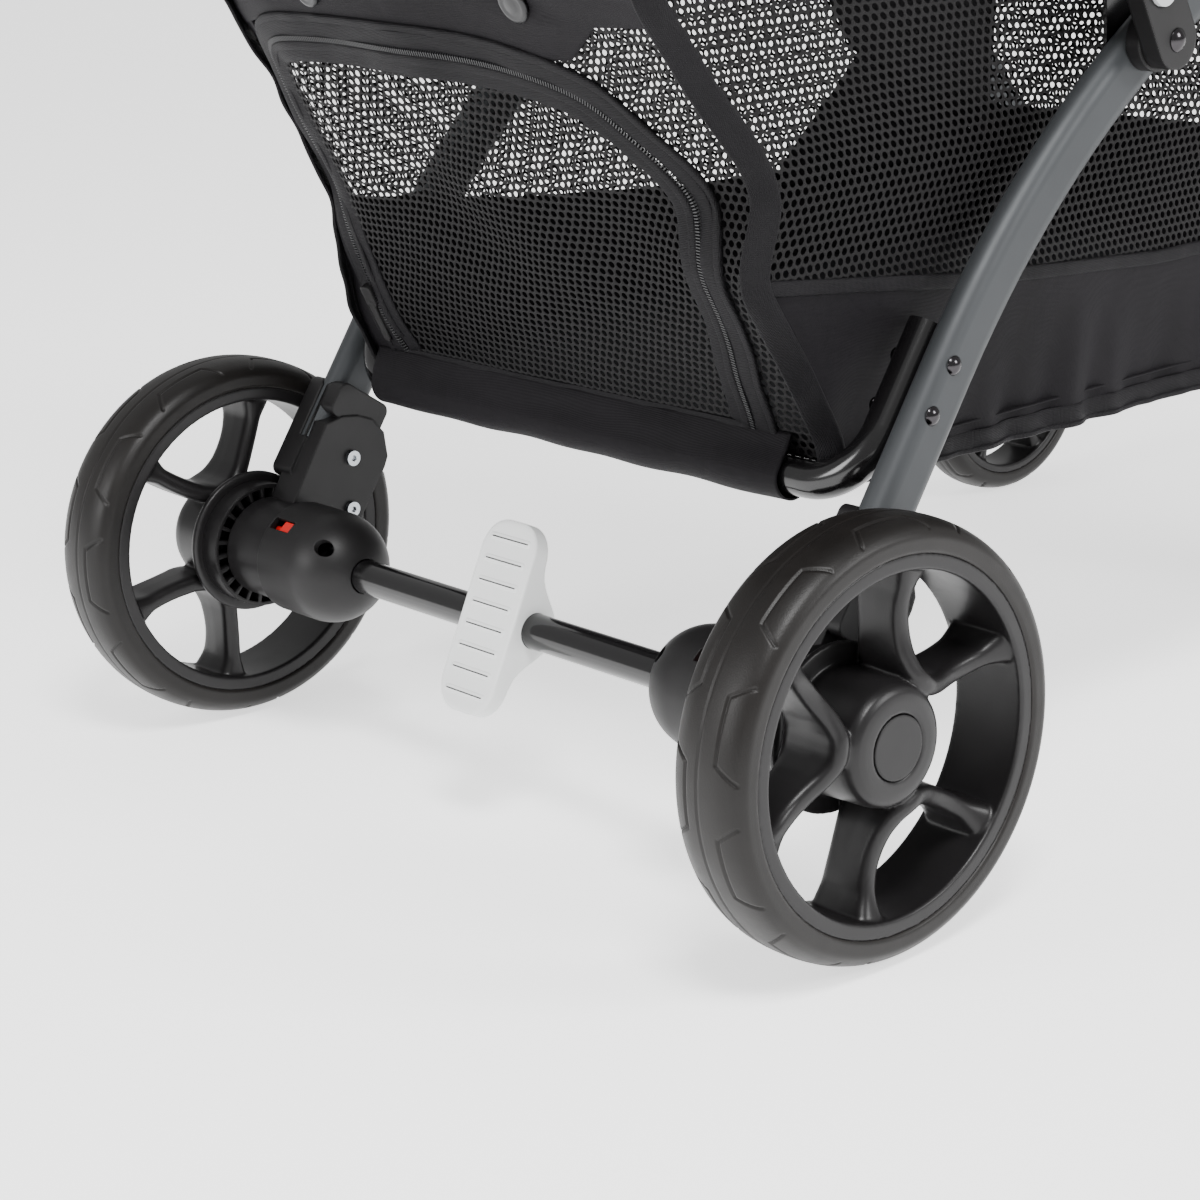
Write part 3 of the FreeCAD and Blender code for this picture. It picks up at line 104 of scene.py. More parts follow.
def ramp(tree, source, low, high):
    """Colour ramp between two colours, driven by a socket."""
    node = tree.nodes.new("ShaderNodeValToRGB")
    for element, position, colour in zip(node.color_ramp.elements, (0.3, 0.7), (low, high)):
        element.position = position
        element.color = (*colour, 1)
    tree.links.new(source, node.inputs["Fac"])
    return node.outputs["Color"]


def surface(name, colour, variation, rough, grain=900.0, grain_depth=0.00004, blotch=14.0, metallic=0.0,
            coat=0.0, sheen=0.0, bevel=0.0, specular=0.5, edge_highlight=0.0):
    """Solid material: blotchy colour and roughness, fine grain, optional soft edges and an optional painted
    highlight on convex edges.
    """
    material, tree, shader = new_material(name)
    link = tree.links.new
    where = tree.nodes.new("ShaderNodeTexCoord").outputs["Object"]
    clouds = noise(tree, where, blotch, 6.0, Roughness=0.6)
    low = [c * (1 - variation) for c in colour]
    high = [c * (1 + variation) for c in colour]
    tint = ramp(tree, clouds, low, high)
    # Painted highlight: convex edges (high pointiness) get a lighter colour that stands in for light caught
    # on the edges.
    if edge_highlight > 0:
        edges = tree.nodes.new("ShaderNodeNewGeometry").outputs["Pointiness"]
        edge_highlight_mask = add(tree, "ShaderNodeMapRange", From_Min=0.52, From_Max=0.60, To_Max=edge_highlight)
        link(edges, edge_highlight_mask.inputs["Value"])
        mix = tree.nodes.new("ShaderNodeMix")
        mix.data_type = "RGBA"
        mix.inputs["B"].default_value = (*[min(1.0, c * 3.2 + 0.03) for c in colour], 1)
        link(edge_highlight_mask.outputs["Result"], mix.inputs["Factor"])
        link(tint, mix.inputs["A"])
        tint = mix.outputs["Result"]
    link(tint, shader.inputs["Base Color"])
    spread = add(tree, "ShaderNodeMapRange", To_Min=rough[0], To_Max=rough[1])
    link(noise(tree, where, blotch * 6, 4.0), spread.inputs["Value"])
    link(spread.outputs["Result"], shader.inputs["Roughness"])
    bump = add(tree, "ShaderNodeBump", Strength=0.8, Distance=grain_depth)
    link(noise(tree, where, grain, 2.0), bump.inputs["Height"])
    if bevel > 0:
        soft = add(tree, "ShaderNodeBevel", Radius=bevel)
        soft.samples = 4
        link(soft.outputs["Normal"], bump.inputs["Normal"])
    link(bump.outputs["Normal"], shader.inputs["Normal"])
    settle(shader, {"Metallic": metallic, "Coat Weight": coat, "Coat Roughness": 0.12, "Sheen Weight": sheen,
                    "Sheen Roughness": 0.5, "Specular IOR Level": specular})
    return material


def cloth(name, colour, thread=0.00045, depth=0.00012, sheen=0.03, rough=0.62, creases=0.0012, specular=0.22):
    """Woven cloth: crossed threads, uneven dye and shallow creases."""
    material, tree, shader = new_material(name)
    link = tree.links.new
    where = tree.nodes.new("ShaderNodeTexCoord").outputs["Object"]
    clouds = noise(tree, where, 9.0, 5.0, Roughness=0.6)
    tint = ramp(tree, clouds, [c * 0.78 for c in colour], [c * 1.3 for c in colour])
    link(tint, shader.inputs["Base Color"])
    threads = None
    for direction in ("X", "Y", "Z"):
        wave = add(tree, "ShaderNodeTexWave", Scale=0.314 / thread, Distortion=0.6, Detail=1.0)
        wave.bands_direction = direction
        link(where, wave.inputs["Vector"])
        height = wave.outputs["Fac"]
        if threads is not None:
            total = tree.nodes.new("ShaderNodeMath")
            total.operation = "ADD"
            link(threads, total.inputs[0])
            link(height, total.inputs[1])
            height = total.outputs[0]
        threads = height
    weave = add(tree, "ShaderNodeBump", Strength=0.7, Distance=depth)
    link(threads, weave.inputs["Height"])
    crease = add(tree, "ShaderNodeBump", Strength=0.6, Distance=creases)
    link(noise(tree, where, 38.0, 3.0, Roughness=0.5, Distortion=1.2), crease.inputs["Height"])
    link(weave.outputs["Normal"], crease.inputs["Normal"])
    link(crease.outputs["Normal"], shader.inputs["Normal"])
    settle(shader, {"Roughness": rough, "Sheen Weight": sheen, "Sheen Roughness": 0.45,
                    "Sheen Tint": (0.75, 0.72, 0.8, 1), "Specular IOR Level": specular})
    return material


MAT = {
    # Tyre and wheel plastic carry a painted highlight on their convex edges: a lighter colour driven by
    # pointiness.
    "tyre": surface("tyre_rubber", (0.0060, 0.0050, 0.0045), 0.3, (0.36, 0.50), grain=1500.0,
                    grain_depth=0.00010, blotch=18.0, specular=0.28, edge_highlight=0.7),
    "wheel": surface("wheel_plastic", (0.0082, 0.0076, 0.0080), 0.2, (0.30, 0.42), grain=1300.0,
                     grain_depth=0.00004, specular=0.28, edge_highlight=0.6),
    "plastic": surface("moulded_plastic", (0.0075, 0.0070, 0.0074), 0.2, (0.36, 0.48), grain=1600.0,
                       grain_depth=0.00005, bevel=0.0016, specular=0.28),
    "dome": surface("dome_plastic", (0.0085, 0.0080, 0.0083), 0.2, (0.40, 0.50), grain=1600.0,
                    grain_depth=0.00005, bevel=0.0008, specular=0.28),
    "black_tube": surface("gloss_black_tube", (0.004, 0.0037, 0.004), 0.2, (0.14, 0.20), grain=300.0,
                          grain_depth=0.00001, coat=0.3, specular=0.4),
    "grey_tube": surface("grey_powder_coat", (0.040, 0.043, 0.046), 0.08, (0.42, 0.52), grain=2200.0,
                         grain_depth=0.00006, metallic=0.3, bevel=0.001, specular=0.35),
    "zinc": surface("zinc_plate", (0.42, 0.44, 0.46), 0.1, (0.24, 0.36), metallic=1.0, bevel=0.0003),
    "dark_chrome": surface("dark_chrome", (0.05, 0.047, 0.05), 0.1, (0.12, 0.2), metallic=1.0,
                           grain_depth=0.00001, bevel=0.0004),
    "red": surface("red_plastic", (0.50, 0.008, 0.006), 0.1, (0.35, 0.45), bevel=0.0005),
    "pedal": surface("pale_grey_plastic", (0.74, 0.75, 0.745), 0.03, (0.45, 0.55), grain=1200.0,
                     grain_depth=0.00003),
    "button": surface("grey_button", (0.5, 0.51, 0.51), 0.05, (0.4, 0.5), bevel=0.0008),
    "foam": surface("grip_foam", (0.010, 0.0095, 0.010), 0.25, (0.75, 0.9), grain=1400.0,
                    grain_depth=0.00035, sheen=0.03, specular=0.2),
    "board": surface("base_board", (0.014, 0.014, 0.016), 0.15, (0.6, 0.75), bevel=0.0015, specular=0.2),
    "coil": surface("zip_coil", (0.010, 0.010, 0.011), 0.2, (0.28, 0.38), specular=0.4),
    "cloth": cloth("black_polyester", (0.0046, 0.0038, 0.0050), sheen=0.012, specular=0.14),
    "tape": cloth("binding_tape", (0.0042, 0.0037, 0.0046), thread=0.0008, depth=0.00018, sheen=0.012,
                  creases=0.0006, specular=0.16),
    "net": cloth("hole_mesh", (0.0040, 0.0035, 0.0039), thread=0.0006, depth=0.00008, sheen=0.01, rough=0.6,
                 creases=0.0, specular=0.2),
}


# ------------------------------------------------------------------ mesh helpers
def new_object(name, data):
    """Object with its data, linked to the scene."""
    made = bpy.data.objects.new(name, data)
    bpy.context.scene.collection.objects.link(made)
    return made


def piece(name, points, faces, material, body=None, smooth=True):
    """Mesh object from points in millimetres."""
    mesh = bpy.data.meshes.new(name)
    mesh.from_pydata((np.asarray(points, float) * 0.001).tolist(), [], [list(map(int, f)) for f in faces])
    mesh.validate()
    mesh.update()
    mesh.materials.append(MAT[material])
    if smooth:
        mesh.polygons.foreach_set("use_smooth", [True] * len(mesh.polygons))
    made = new_object(name, mesh)
    if body:
        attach(made, body)
    return made


def face_outwards(mesh):
    """Turns all faces of a closed mesh outwards."""
    work = bmesh.new()
    work.from_mesh(mesh)
    bmesh.ops.recalc_face_normals(work, faces=work.faces)
    work.to_mesh(mesh)
    work.free()


def grid_faces(rows, columns, wrap_rows=False, wrap_columns=False, first=0):
    """Quads of a grid of rows by columns points."""
    row = np.arange(rows if wrap_rows else rows - 1)
    column = np.arange(columns if wrap_columns else columns - 1)
    a, b = np.meshgrid(row, column, indexing="ij")
    after_a = (a + 1) % rows
    after_b = (b + 1) % columns
    corners = [a * columns + b, after_a * columns + b, after_a * columns + after_b, a * columns + after_b]
    return (np.stack(corners, -1).reshape(-1, 4) + first).tolist()


def capped_faces(rows, columns, clockwise=False):
    """Quads of a closed section swept along rows, with a face on both ends."""
    first = list(range(columns))
    last = list(range((rows - 1) * columns, rows * columns))
    ends = [first, last[::-1]] if clockwise else [first[::-1], last]
    return grid_faces(rows, columns, wrap_columns=True) + ends


def smooth_step(low, high, value):
    """Cubic step from 0 at low to 1 at high."""
    t = np.clip((np.asarray(value, float) - low) / (high - low), 0, 1)
    return t * t * (3 - 2 * t)


def arc(degrees):
    """Points of the unit circle at these angles."""
    turns = np.radians(degrees)
    return np.stack([np.cos(turns), np.sin(turns)], 1)


def unit(vectors):
    """Rows scaled to length 1."""
    return vectors / np.linalg.norm(vectors, axis=1, keepdims=True)


def tangents(path):
    """Directions along a polyline, of length 1."""
    return unit(np.gradient(path, axis=0))


def left_of(ahead):
    """Flat directions turned a quarter to the left."""
    return np.stack([-ahead[:, 1], ahead[:, 0]], 1)


def resample(points, spacing, closed=False):
    """Points of a polyline moved to even spacing."""
    points = np.asarray(points, float)
    if closed:
        points = np.vstack([points, points[:1]])
    lengths = np.linalg.norm(np.diff(points, axis=0), axis=1)
    along = np.concatenate([[0], np.cumsum(lengths)])
    count = max(3, int(round(along[-1] / spacing)) + 1)
    wanted = np.linspace(0, along[-1], count)
    if closed:
        wanted = wanted[:-1]
    return np.stack([np.interp(wanted, along, points[:, k]) for k in range(points.shape[1])], 1)


def rounded(points, spacing, closed=False, passes=2):
    """Polyline with its corners rounded by corner cutting, then evenly spaced."""
    points = np.asarray(points, float)
    for _ in range(passes):
        following = np.roll(points, -1, axis=0)
        near = points * 0.75 + following * 0.25
        far = points * 0.25 + following * 0.75
        woven = np.stack([near, far], 1).reshape(-1, points.shape[1])
        if closed:
            points = woven
        else:
            points = np.vstack([points[:1], woven[1:-2], points[-1:]])
    return resample(points, spacing, closed)


def ripple(a, b, seed, scale, waves=7):
    """Smooth repeatable unevenness between about -1 and 1 over two coordinates."""
    chance = np.random.default_rng(seed)
    total = np.zeros(np.broadcast(a, b).shape)
    for _ in range(waves):
        turn = chance.uniform(0, math.pi)
        pitch = scale * chance.uniform(0.6, 1.7)
        shift = chance.uniform(0, 2 * math.pi)
        total = total + np.sin((a * math.cos(turn) + b * math.sin(turn)) * 2 * math.pi / pitch + shift)
    return total / math.sqrt(waves) / 1.2


def ribbon(name, points, normals, width, thick, lift, crease, seed, body="rear_frame"):
    """Tape along a path, width across it and thick along the normals (one, or one per point)."""
    normals = unit(np.broadcast_to(np.asarray(normals, float), points.shape))
    across = unit(np.cross(tangents(points), normals))
    half = width / 2
    edge = min(0.9, half * 0.4)
    section = [(-half, 0), (-half + edge * 0.3, thick * 0.7), (-half + edge, thick),
               (-half * 0.3, thick * 1.05), (half * 0.3, thick * 1.05), (half - edge, thick),
               (half - edge * 0.3, thick * 0.7), (half, 0), (half - edge, -thick * 0.2),
               (-half + edge, -thick * 0.2)]
    steps = np.arange(len(points), dtype=float)
    rings = []
    for side, height in section:
        bend = ripple(steps * 3.0, side * 2, seed, 34.0) * crease
        rings.append(points + across * side + normals * (height + lift + bend)[:, None])
    verts = np.stack(rings, 1).reshape(-1, 3)
    made = piece(name, verts, capped_faces(len(points), len(section), clockwise=True), "tape", body)


def revolve_points(profile, count, centre):
    """Ring of profile copies round the X axis: profile is (x, radius)."""
    profile = np.asarray(profile, float)
    turn = np.arange(count) * 2 * math.pi / count
    x = np.broadcast_to(profile[:, 0], (count, len(profile)))
    y = np.cos(turn)[:, None] * profile[:, 1][None]
    z = np.sin(turn)[:, None] * profile[:, 1][None]
    return np.stack([x, y, z], -1).reshape(-1, 3) + centre


def fuse_soft(name, solids, voxel, passes, material):
    """Union of closed meshes with filleted joints, as one moulding."""
    bpy.ops.object.select_all(action="DESELECT")
    for solid in solids:
        solid.select_set(True)
    bpy.context.view_layer.objects.active = solids[0]
    bpy.ops.object.join()
    made = bpy.context.view_layer.objects.active
    made.name = name
    made.data.name = name
    remesh = made.modifiers.new("remesh", "REMESH")
    remesh.mode = "VOXEL"
    remesh.voxel_size = voxel * 0.001
    remesh.use_smooth_shade = True
    relax = made.modifiers.new("relax", "SMOOTH")
    relax.factor = 0.5
    relax.iterations = passes
    bpy.ops.object.modifier_apply(modifier="remesh")
    bpy.ops.object.modifier_apply(modifier="relax")
    made.data.materials.clear()
    made.data.materials.append(MAT[material])
    return made


# ------------------------------------------------------------------ wheels
GROOVE_DEPTH = 0.85
PARTING_DEPTH = 0.45


def tyre(name, node, body, side, groove_count, crown, spacing):
    """Tyre with bracket-shaped grooves in both shoulders and a parting groove between them."""
    low, high = mm_box(node)
    centre = (low + high) / 2
    radius = (high[2] - low[2]) / 2
    half = (high[0] - low[0]) / 2
    inner = radius - crown
    skin = [(-half * 0.955, inner), (-half * 0.975, inner + 0.5), (-half, inner + 1.0),
            (-half, inner + crown * 0.3), (-half, inner + crown * 0.46), (-half * 0.96, inner + crown * 0.58),
            (-half * 0.84, radius - crown * 0.22), (-half * 0.58, radius - crown * 0.075),
            (-half * 0.3, radius - crown * 0.015), (0, radius)]
    skin = skin + [(-x, r) for x, r in skin[-2::-1]]
    skin = rounded(skin, spacing, passes=3)
    outward = left_of(tangents(skin))
    count = int(2 * math.pi * radius / spacing)
    turn = np.arange(count) * 2 * math.pi / count
    arc = turn[:, None] * radius
    wide = skin[:, 0][None] * side
    depth = np.zeros((count, len(skin)))
    pitch = 2 * math.pi * radius / groove_count
    mark = np.array([(-0.34, 0.87), (-0.235, 0.42), (0.235, 0.42), (0.34, 0.87)])
    for sign, shift in ((1, 0.0), (-1, 0.5)):
        local = (arc / pitch + shift) % 1.0 - 0.5
        a = local * pitch
        b = wide * sign
        near = np.full(depth.shape, 1e9)
        for start, end in zip(mark[:-1], mark[1:]):
            ax, bx = start[0] * pitch, end[0] * pitch
            ay, by = start[1] * half, end[1] * half
            span = (bx - ax) ** 2 + (by - ay) ** 2
            t = np.clip(((a - ax) * (bx - ax) + (b - ay) * (by - ay)) / span, 0, 1)
            near = np.minimum(near, np.hypot(a - ax - t * (bx - ax), b - ay - t * (by - ay)))
        depth += GROOVE_DEPTH * (1 - smooth_step(0.25, 0.95, near))
    depth += PARTING_DEPTH * (1 - smooth_step(0.2, 0.9, np.abs(wide + half * 0.06)))
    at = skin[None] - outward[None] * depth[..., None]
    verts = np.stack([at[..., 0], np.cos(turn)[:, None] * at[..., 1], np.sin(turn)[:, None] * at[..., 1]], -1)
    verts = verts.reshape(-1, 3) + centre
    faces = grid_faces(count, len(skin), wrap_rows=True, wrap_columns=True)
    made = piece(name, verts, faces, "tyre", body)
    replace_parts(made, node)


def spoke(loop_angle, sizes, sign):
    """One arm of a spoke loop, from the loop's foot near the hub out to the rim."""
    heart, bend, reach = sizes["heart"], sizes["bend"], sizes["reach"]
    end = np.array([reach * math.cos(sizes["half_angle"]), sign * reach * math.sin(sizes["half_angle"])])
    foot = np.array([heart - bend, 0.0])
    shoulder = np.array([heart - bend * 0.62, sign * bend * 1.06])
    path = [foot - (0, sign * 1.0), foot + (0, sign * bend * 0.45), shoulder]
    for t in np.linspace(0.12, 1, 26):
        straight = shoulder * (1 - t) + end * t
        bow = math.sin(math.pi * t) * sizes["bow"]
        direction = (end - shoulder) / np.linalg.norm(end - shoulder)
        path.append(straight + np.array([-direction[1], direction[0]]) * bow * sign)
    path = rounded(path, 1.6, passes=2)
    across = left_of(tangents(path))
    radius = np.linalg.norm(path, axis=1)
    flare = smooth_step(reach - 15, reach - 1, radius)
    thick = sizes["thick"] * (1 + 0.75 * flare)
    dish = np.sin(np.clip((radius - sizes["hub"]) / (reach - sizes["hub"]), 0, 1) * math.pi) ** 0.8
    high = sizes["face"] - sizes["dish"] * dish
    low = np.full_like(high, -sizes["face"] + 1.5) + sizes["dish"] * 0.35 * dish
    section = arc(18 * np.arange(20))
    section = np.sign(section) * np.abs(section) ** (0.8, 0.3)
    middle = (high + low) / 2
    deep = (high - low) / 2
    flat = path[:, None] + across[:, None] * (section[:, 0][None] * thick[:, None] / 2)[..., None]
    x = middle[:, None] + section[:, 1][None] * deep[:, None]
    c, s = math.cos(loop_angle), math.sin(loop_angle)
    y = flat[..., 0] * c - flat[..., 1] * s
    z = flat[..., 0] * s + flat[..., 1] * c
    verts = np.stack([x, y, z], -1).reshape(-1, 3)
    return verts, capped_faces(len(path), len(section))


def mirrored_wheel(source, sizes, centre):
    """Copy of the other side's wheel, turned to its own angle."""
    made = source.copy()
    made.data = source.data.copy()
    bpy.context.scene.collection.objects.link(made)
    made.parent = None
    made.data.transform(Matrix.Diagonal((-1.0, 1.0, 1.0, 1.0)))
    made.data.flip_normals()
    axle = Matrix.Translation(centre)
    made.data.transform(axle @ Matrix.Rotation(sizes["left_turn"], 4, "X") @ axle.inverted())
    return made


def moulded_wheel(name, sizes, core, side, centre):
    """Rim, spoke loops and hub as one moulding."""
    face, seat, opening = sizes["face"], sizes["seat"], sizes["opening"]
    barrel = [(-face, opening + 0.9), (-face + 0.9, opening), (face - 0.9, opening), (face, opening + 0.9),
              (face, seat), (-face, seat)]
    solids = []
    for label, profile in (("barrel", barrel), ("core", core)):
        verts = revolve_points(profile, 240, np.zeros(3))
        solids.append(piece(name + label, verts, grid_faces(240, len(profile), True, True), "wheel"))
    for angle in sizes["loops"]:
        for sign in (1, -1):
            solids.append(piece(name + "arm", *spoke(math.radians(angle), sizes, sign), "wheel"))
    for solid in solids:
        face_outwards(solid.data)
    made = fuse_soft(name, solids, sizes["voxel"], 5, "wheel")
    made.data.transform(Matrix.Translation(centre) @ Matrix.Diagonal((side, 1.0, 1.0, 1.0)))
    if side < 0:
        made.data.flip_normals()
    return made


def wheel(name, node, body, side, sizes, core, source=None):
    """One wheel's moulding; the other side's wheel is its mirror image."""
    centre = mm_centre(node)
    centre[0] = side * sizes["track"]
    centre = Vector(centre * 0.001)
    made = mirrored_wheel(source, sizes, centre) if source else moulded_wheel(name, sizes, core, side, centre)
    made.name = name
    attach(made, body)
    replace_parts(made, node)
    return made


def build_wheels():
    """All four wheels."""
    rear = {"track": mm_centre("rear_tyre_left")[0], "face": 19.9, "seat": 85.3, "opening": 77.9, "hub": 28.0,
            "heart": 44.0, "bend": 12.5, "reach": 81.0, "half_angle": math.radians(29.5), "bow": 1.5,
            "thick": 10.0, "dish": 9.5, "loops": (131.0, 251.0, 11.0), "voxel": 0.9,
            "left_turn": math.radians(60)}
    core = [(-22.4, 4.6), (-22.4, 38.2), (-21.6, 39.0), (-18.6, 39.0), (-18.2, 29.4), (10, 28.4),
            (13.5, 27.9), (16.4, 26.6), (18.0, 24.2), (18.6, 21.0), (18.7, 15.2), (18.1, 14.9),
            (15.6, 14.9), (15.6, 4.6)]
    front = {"track": mm_centre("front_tyre_left")[0], "face": 15.2, "seat": 62.6, "opening": 57.0,
             "hub": 19.0, "heart": 32.0, "bend": 9.5, "reach": 59.5, "half_angle": math.radians(29.5),
             "bow": 1.0, "thick": 6.4, "dish": 5.5, "loops": (90.0, 210.0, 330.0), "voxel": 1.0,
             "left_turn": 0.0}
    front_core = [(-17, 3.6), (-17, 21), (-16, 22), (-13, 22), (-12.6, 19.6), (13, 19), (15, 17.6), (15, 3.6)]
    pairs = (("rear", rear, core, 10, 14.8, 0.7), ("front", front, front_core, 9, 12.5, 1.2))
    for end, sizes, section, grooves, crown, spacing in pairs:
        first = None
        for name, side in (("right", -1.0), ("left", 1.0)):
            body = "%s_wheel_%s" % (end, name)
            skin, node = "%s_tyre_%s_skin" % (end, name), "%s_tyre_%s" % (end, name)
            tyre(skin, node, body, side, grooves, crown, spacing)
            moulding, node = "%s_rim_%s_moulding" % (end, name), "%s_rim_%s" % (end, name)
            first = wheel(moulding, node, body, side, sizes, section, first)


# ------------------------------------------------------------------ cabin
shell_low, shell_high = mm_box("cabin_shell")
FLOOR = shell_low[2]
RIM = shell_high[2]
TOP_HALF = shell_high[0]
REAR_TOP = shell_high[1]
FRONT_TOP = shell_low[1]
LEAN = 0.4488
REAR_FOOT = REAR_TOP - LEAN * (RIM - FLOOR)
FRONT_FOOT = FRONT_TOP + 48.0
FOOT_HALF = 168
BAND_FOOT = 184
WINDOW_TOP = 452
DOOR_FOOT = 9.0
CLOTH_THICK = 0.9
NET_PITCH = 5.0
NET_HOLE = 0.60
RIGHT = np.array([1.0, 0, 0])
UP = np.array([0, LEAN, 1.0]) / math.hypot(LEAN, 1.0)
OUT = np.array([0, 1.0, -LEAN]) / math.hypot(LEAN, 1.0)

# Corner seams of the rear wall: height, half width and how far the seam stands off the leaning plane.
RIGHT_SEAM = np.array([(184, 163, -2), (208, 166, -6), (249, 172, 3), (272, 179, 13), (290, 183, 19),
                       (303, 183, 11), (325, 184, -6), (343, 184, -7), (378, 184, 7), (417, 184, 18),
                       (460, 184, 8), (499, 184, 0)], float)
LEFT_SEAM = np.array([(184, 165, -2), (208, 170, 0), (234, 171, 0), (265, 167, -7), (300, 163, -15),
                      (340, 166, -16), (372, 171, -16), (402, 174, -13), (440, 180, -6),
                      (499, 184, 0)], float)


def seam(table, height):
    """Half width and offset of a corner seam at a height, smoothly."""
    fine = np.linspace(table[0, 0], table[-1, 0], 160)
    values = []
    for column in (1, 2):
        line = np.interp(fine, table[:, 0], table[:, column])
        padded_line = np.pad(line, 7, mode="edge")
        line = np.convolve(padded_line, np.hanning(15) / np.hanning(15).sum(), mode="valid")
        values.append(np.interp(height, fine, line))
    return values


def rear_y(height):
    """Where the leaning rear plane is at a height."""
    return REAR_FOOT + LEAN * (height - FLOOR)


def rise_at(height):
    """Share of the way from the cabin's floor (0) to its rim (1)."""
    return np.clip((height - FLOOR) / (RIM - FLOOR), -0.1, 1)


def front_y(height):
    """Where the front plane is at a height."""
    return FRONT_FOOT + (FRONT_TOP - FRONT_FOOT) * rise_at(height)


def front_half(height):
    """Half width of the front wall at a height."""
    return FOOT_HALF + (TOP_HALF - FOOT_HALF) * rise_at(height)


def level_out(first, second):
    """Two coordinates as float arrays of one shape."""
    return np.broadcast_arrays(np.asarray(first, float), np.asarray(second, float))


def rear_point(x, s, lift=0.0):
    """Point of the rear wall at x, s up the slope from the floor's edge, with its soft shape."""
    x, s = level_out(x, s)
    height = FLOOR + s * UP[2]
    right_half, right_off = seam(RIGHT_SEAM, height)
    left_half, left_off = seam(LEFT_SEAM, height)
    half = np.where(x < 0, right_half, left_half)
    off = np.where(x < 0, right_off, left_off)
    share = np.clip(np.abs(x) / half, 0, 1.2)
    y = rear_y(height) + off * share ** 4
    y = y + 5.0 * (1 - share ** 2) * np.sin(np.clip(s / 320, 0, 1) * math.pi)
    y = y + 1.6 * ripple(x, s, 5, 90.0) * smooth_step(-10, 40, s) * (1 - smooth_step(270, 325, s))
    return np.stack([x, y, height], -1) + OUT * np.asarray(lift, float)[..., None]


def side_point(sign):
    """Surface of a side wall: y as a share from the rear seam (0) to the front corner (1), and height."""
    table = RIGHT_SEAM if sign < 0 else LEFT_SEAM

    def surface_at(share, height, lift=0.0):
        share, height = level_out(share, height)
        half, off = seam(table, height)
        back = rear_y(height) + off
        y = back + (front_y(height) - back) * share
        x = half + (front_half(height) - half) * smooth_step(0, 0.5, share)
        along = np.sin(math.pi * np.clip(share, 0, 1))
        belly = 3.0 * along * np.sin(math.pi * np.clip(rise_at(height), 0, 1))
        low = 1 - smooth_step(196, 262, height)
        gather = ripple(y, height * 0.12, 21, 34.0) * 3.0 * low * along ** 0.4
        x = x + belly + gather + ripple(y, height, 9, 80.0) - 1.5 * low + np.asarray(lift, float)
        return np.stack([sign * np.minimum(x, 190.0), y, height], -1)

    return surface_at


def front_point(x, height, lift=0.0):
    """Point of the front wall."""
    x, height = level_out(x, height)
    share = np.clip(np.abs(x) / front_half(height), 0, 1)
    y = front_y(height) - 4.0 * (1 - share ** 2) * np.sin(math.pi * np.clip(rise_at(height), 0, 1))
    y = y + 1.2 * ripple(x, height, 33, 80.0) - np.asarray(lift, float)
    return np.stack([x, y, height], -1)


def inside(points, polygon):
    """Which points lie inside a closed polygon."""
    polygon = np.asarray(polygon, float)
    x, y = points[:, 0], points[:, 1]
    hit = np.zeros(len(points), bool)
    for (ax, ay), (bx, by) in zip(polygon, np.roll(polygon, -1, axis=0)):
        crosses = (ay > y) != (by > y)
        with np.errstate(divide="ignore", invalid="ignore"):
            edge = (bx - ax) * (y - ay) / (by - ay) + ax
        hit ^= crosses & (x < edge)
    return hit


def net(name, polygon, place, body="rear_frame"):
    """Hole mesh over a polygon of flat coordinates, carried to space by place(u, v, lift)."""
    polygon = np.asarray(polygon, float)
    low, high = polygon.min(0), polygon.max(0)
    corner = NET_PITCH / math.sqrt(3)
    columns = int((high[0] - low[0]) / NET_PITCH) + 2
    rows = int((high[1] - low[1]) / (1.5 * corner)) + 2
    a, b = np.meshgrid(np.arange(columns), np.arange(rows), indexing="ij")
    centres = np.stack([low[0] + (a + 0.5 * (b % 2)) * NET_PITCH, low[1] + b * 1.5 * corner], -1)
    centres = centres.reshape(-1, 2)
    centres = centres[inside(centres, polygon)]
    outer = (centres[:, None] + arc(30 + 60 * np.arange(6)) * corner).reshape(-1, 2)
    inner = (centres[:, None] + arc(30 * np.arange(12)) * corner * NET_HOLE).reshape(-1, 2)
    keys = np.round(outer / (corner * 0.25)).astype(np.int64)
    _, first, back = np.unique(keys, axis=0, return_index=True, return_inverse=True)
    shared = outer[first]
    rim_at = back.reshape(-1, 6)
    ring_at = len(shared) + np.arange(len(centres)) * 12
    faces = []
    for k in range(6):
        ring = [ring_at + (2 * k + step) % 12 for step in (3, 2, 1)]
        faces.append(np.stack([rim_at[:, k], rim_at[:, (k + 1) % 6], *ring], 1))
    flat = np.vstack([shared, inner])
    lift = np.concatenate([np.full(len(shared), 0.35), np.full(len(inner), -0.15)])
    made = piece(name, place(*flat.T, lift), np.concatenate(faces).tolist(), "net", body)
    return made


def panel(name, place, counts, us=(0, 1), vs=(0, 1)):
    """Solid cloth over a rectangle of flat coordinates."""
    u, v = np.meshgrid(np.linspace(*us, counts[0]), np.linspace(*vs, counts[1]), indexing="ij")
    made = piece(name, place(u.ravel(), v.ravel()), grid_faces(*counts), "cloth", "rear_frame")
    thicken(made, CLOTH_THICK, 0)
    return made


def thicken(made, thick, offset):
    """Gives a cloth its thickness, on one side of its mesh or about its middle."""
    skin = made.modifiers.new("thickness", "SOLIDIFY")
    skin.thickness = thick * 0.001
    skin.offset = offset


ZIP_LINE = [(138, 14), (143, 42), (148, 70), (148, 99), (148, 129), (149, 159), (150, 180),
            (143, 196), (128, 203), (90, 205), (30, 204), (-25, 202), (-71, 196), (-104, 186),
            (-126, 168), (-143, 141), (-146, 122), (-144, 104), (-138, 70), (-130, 40), (-124, 13)]


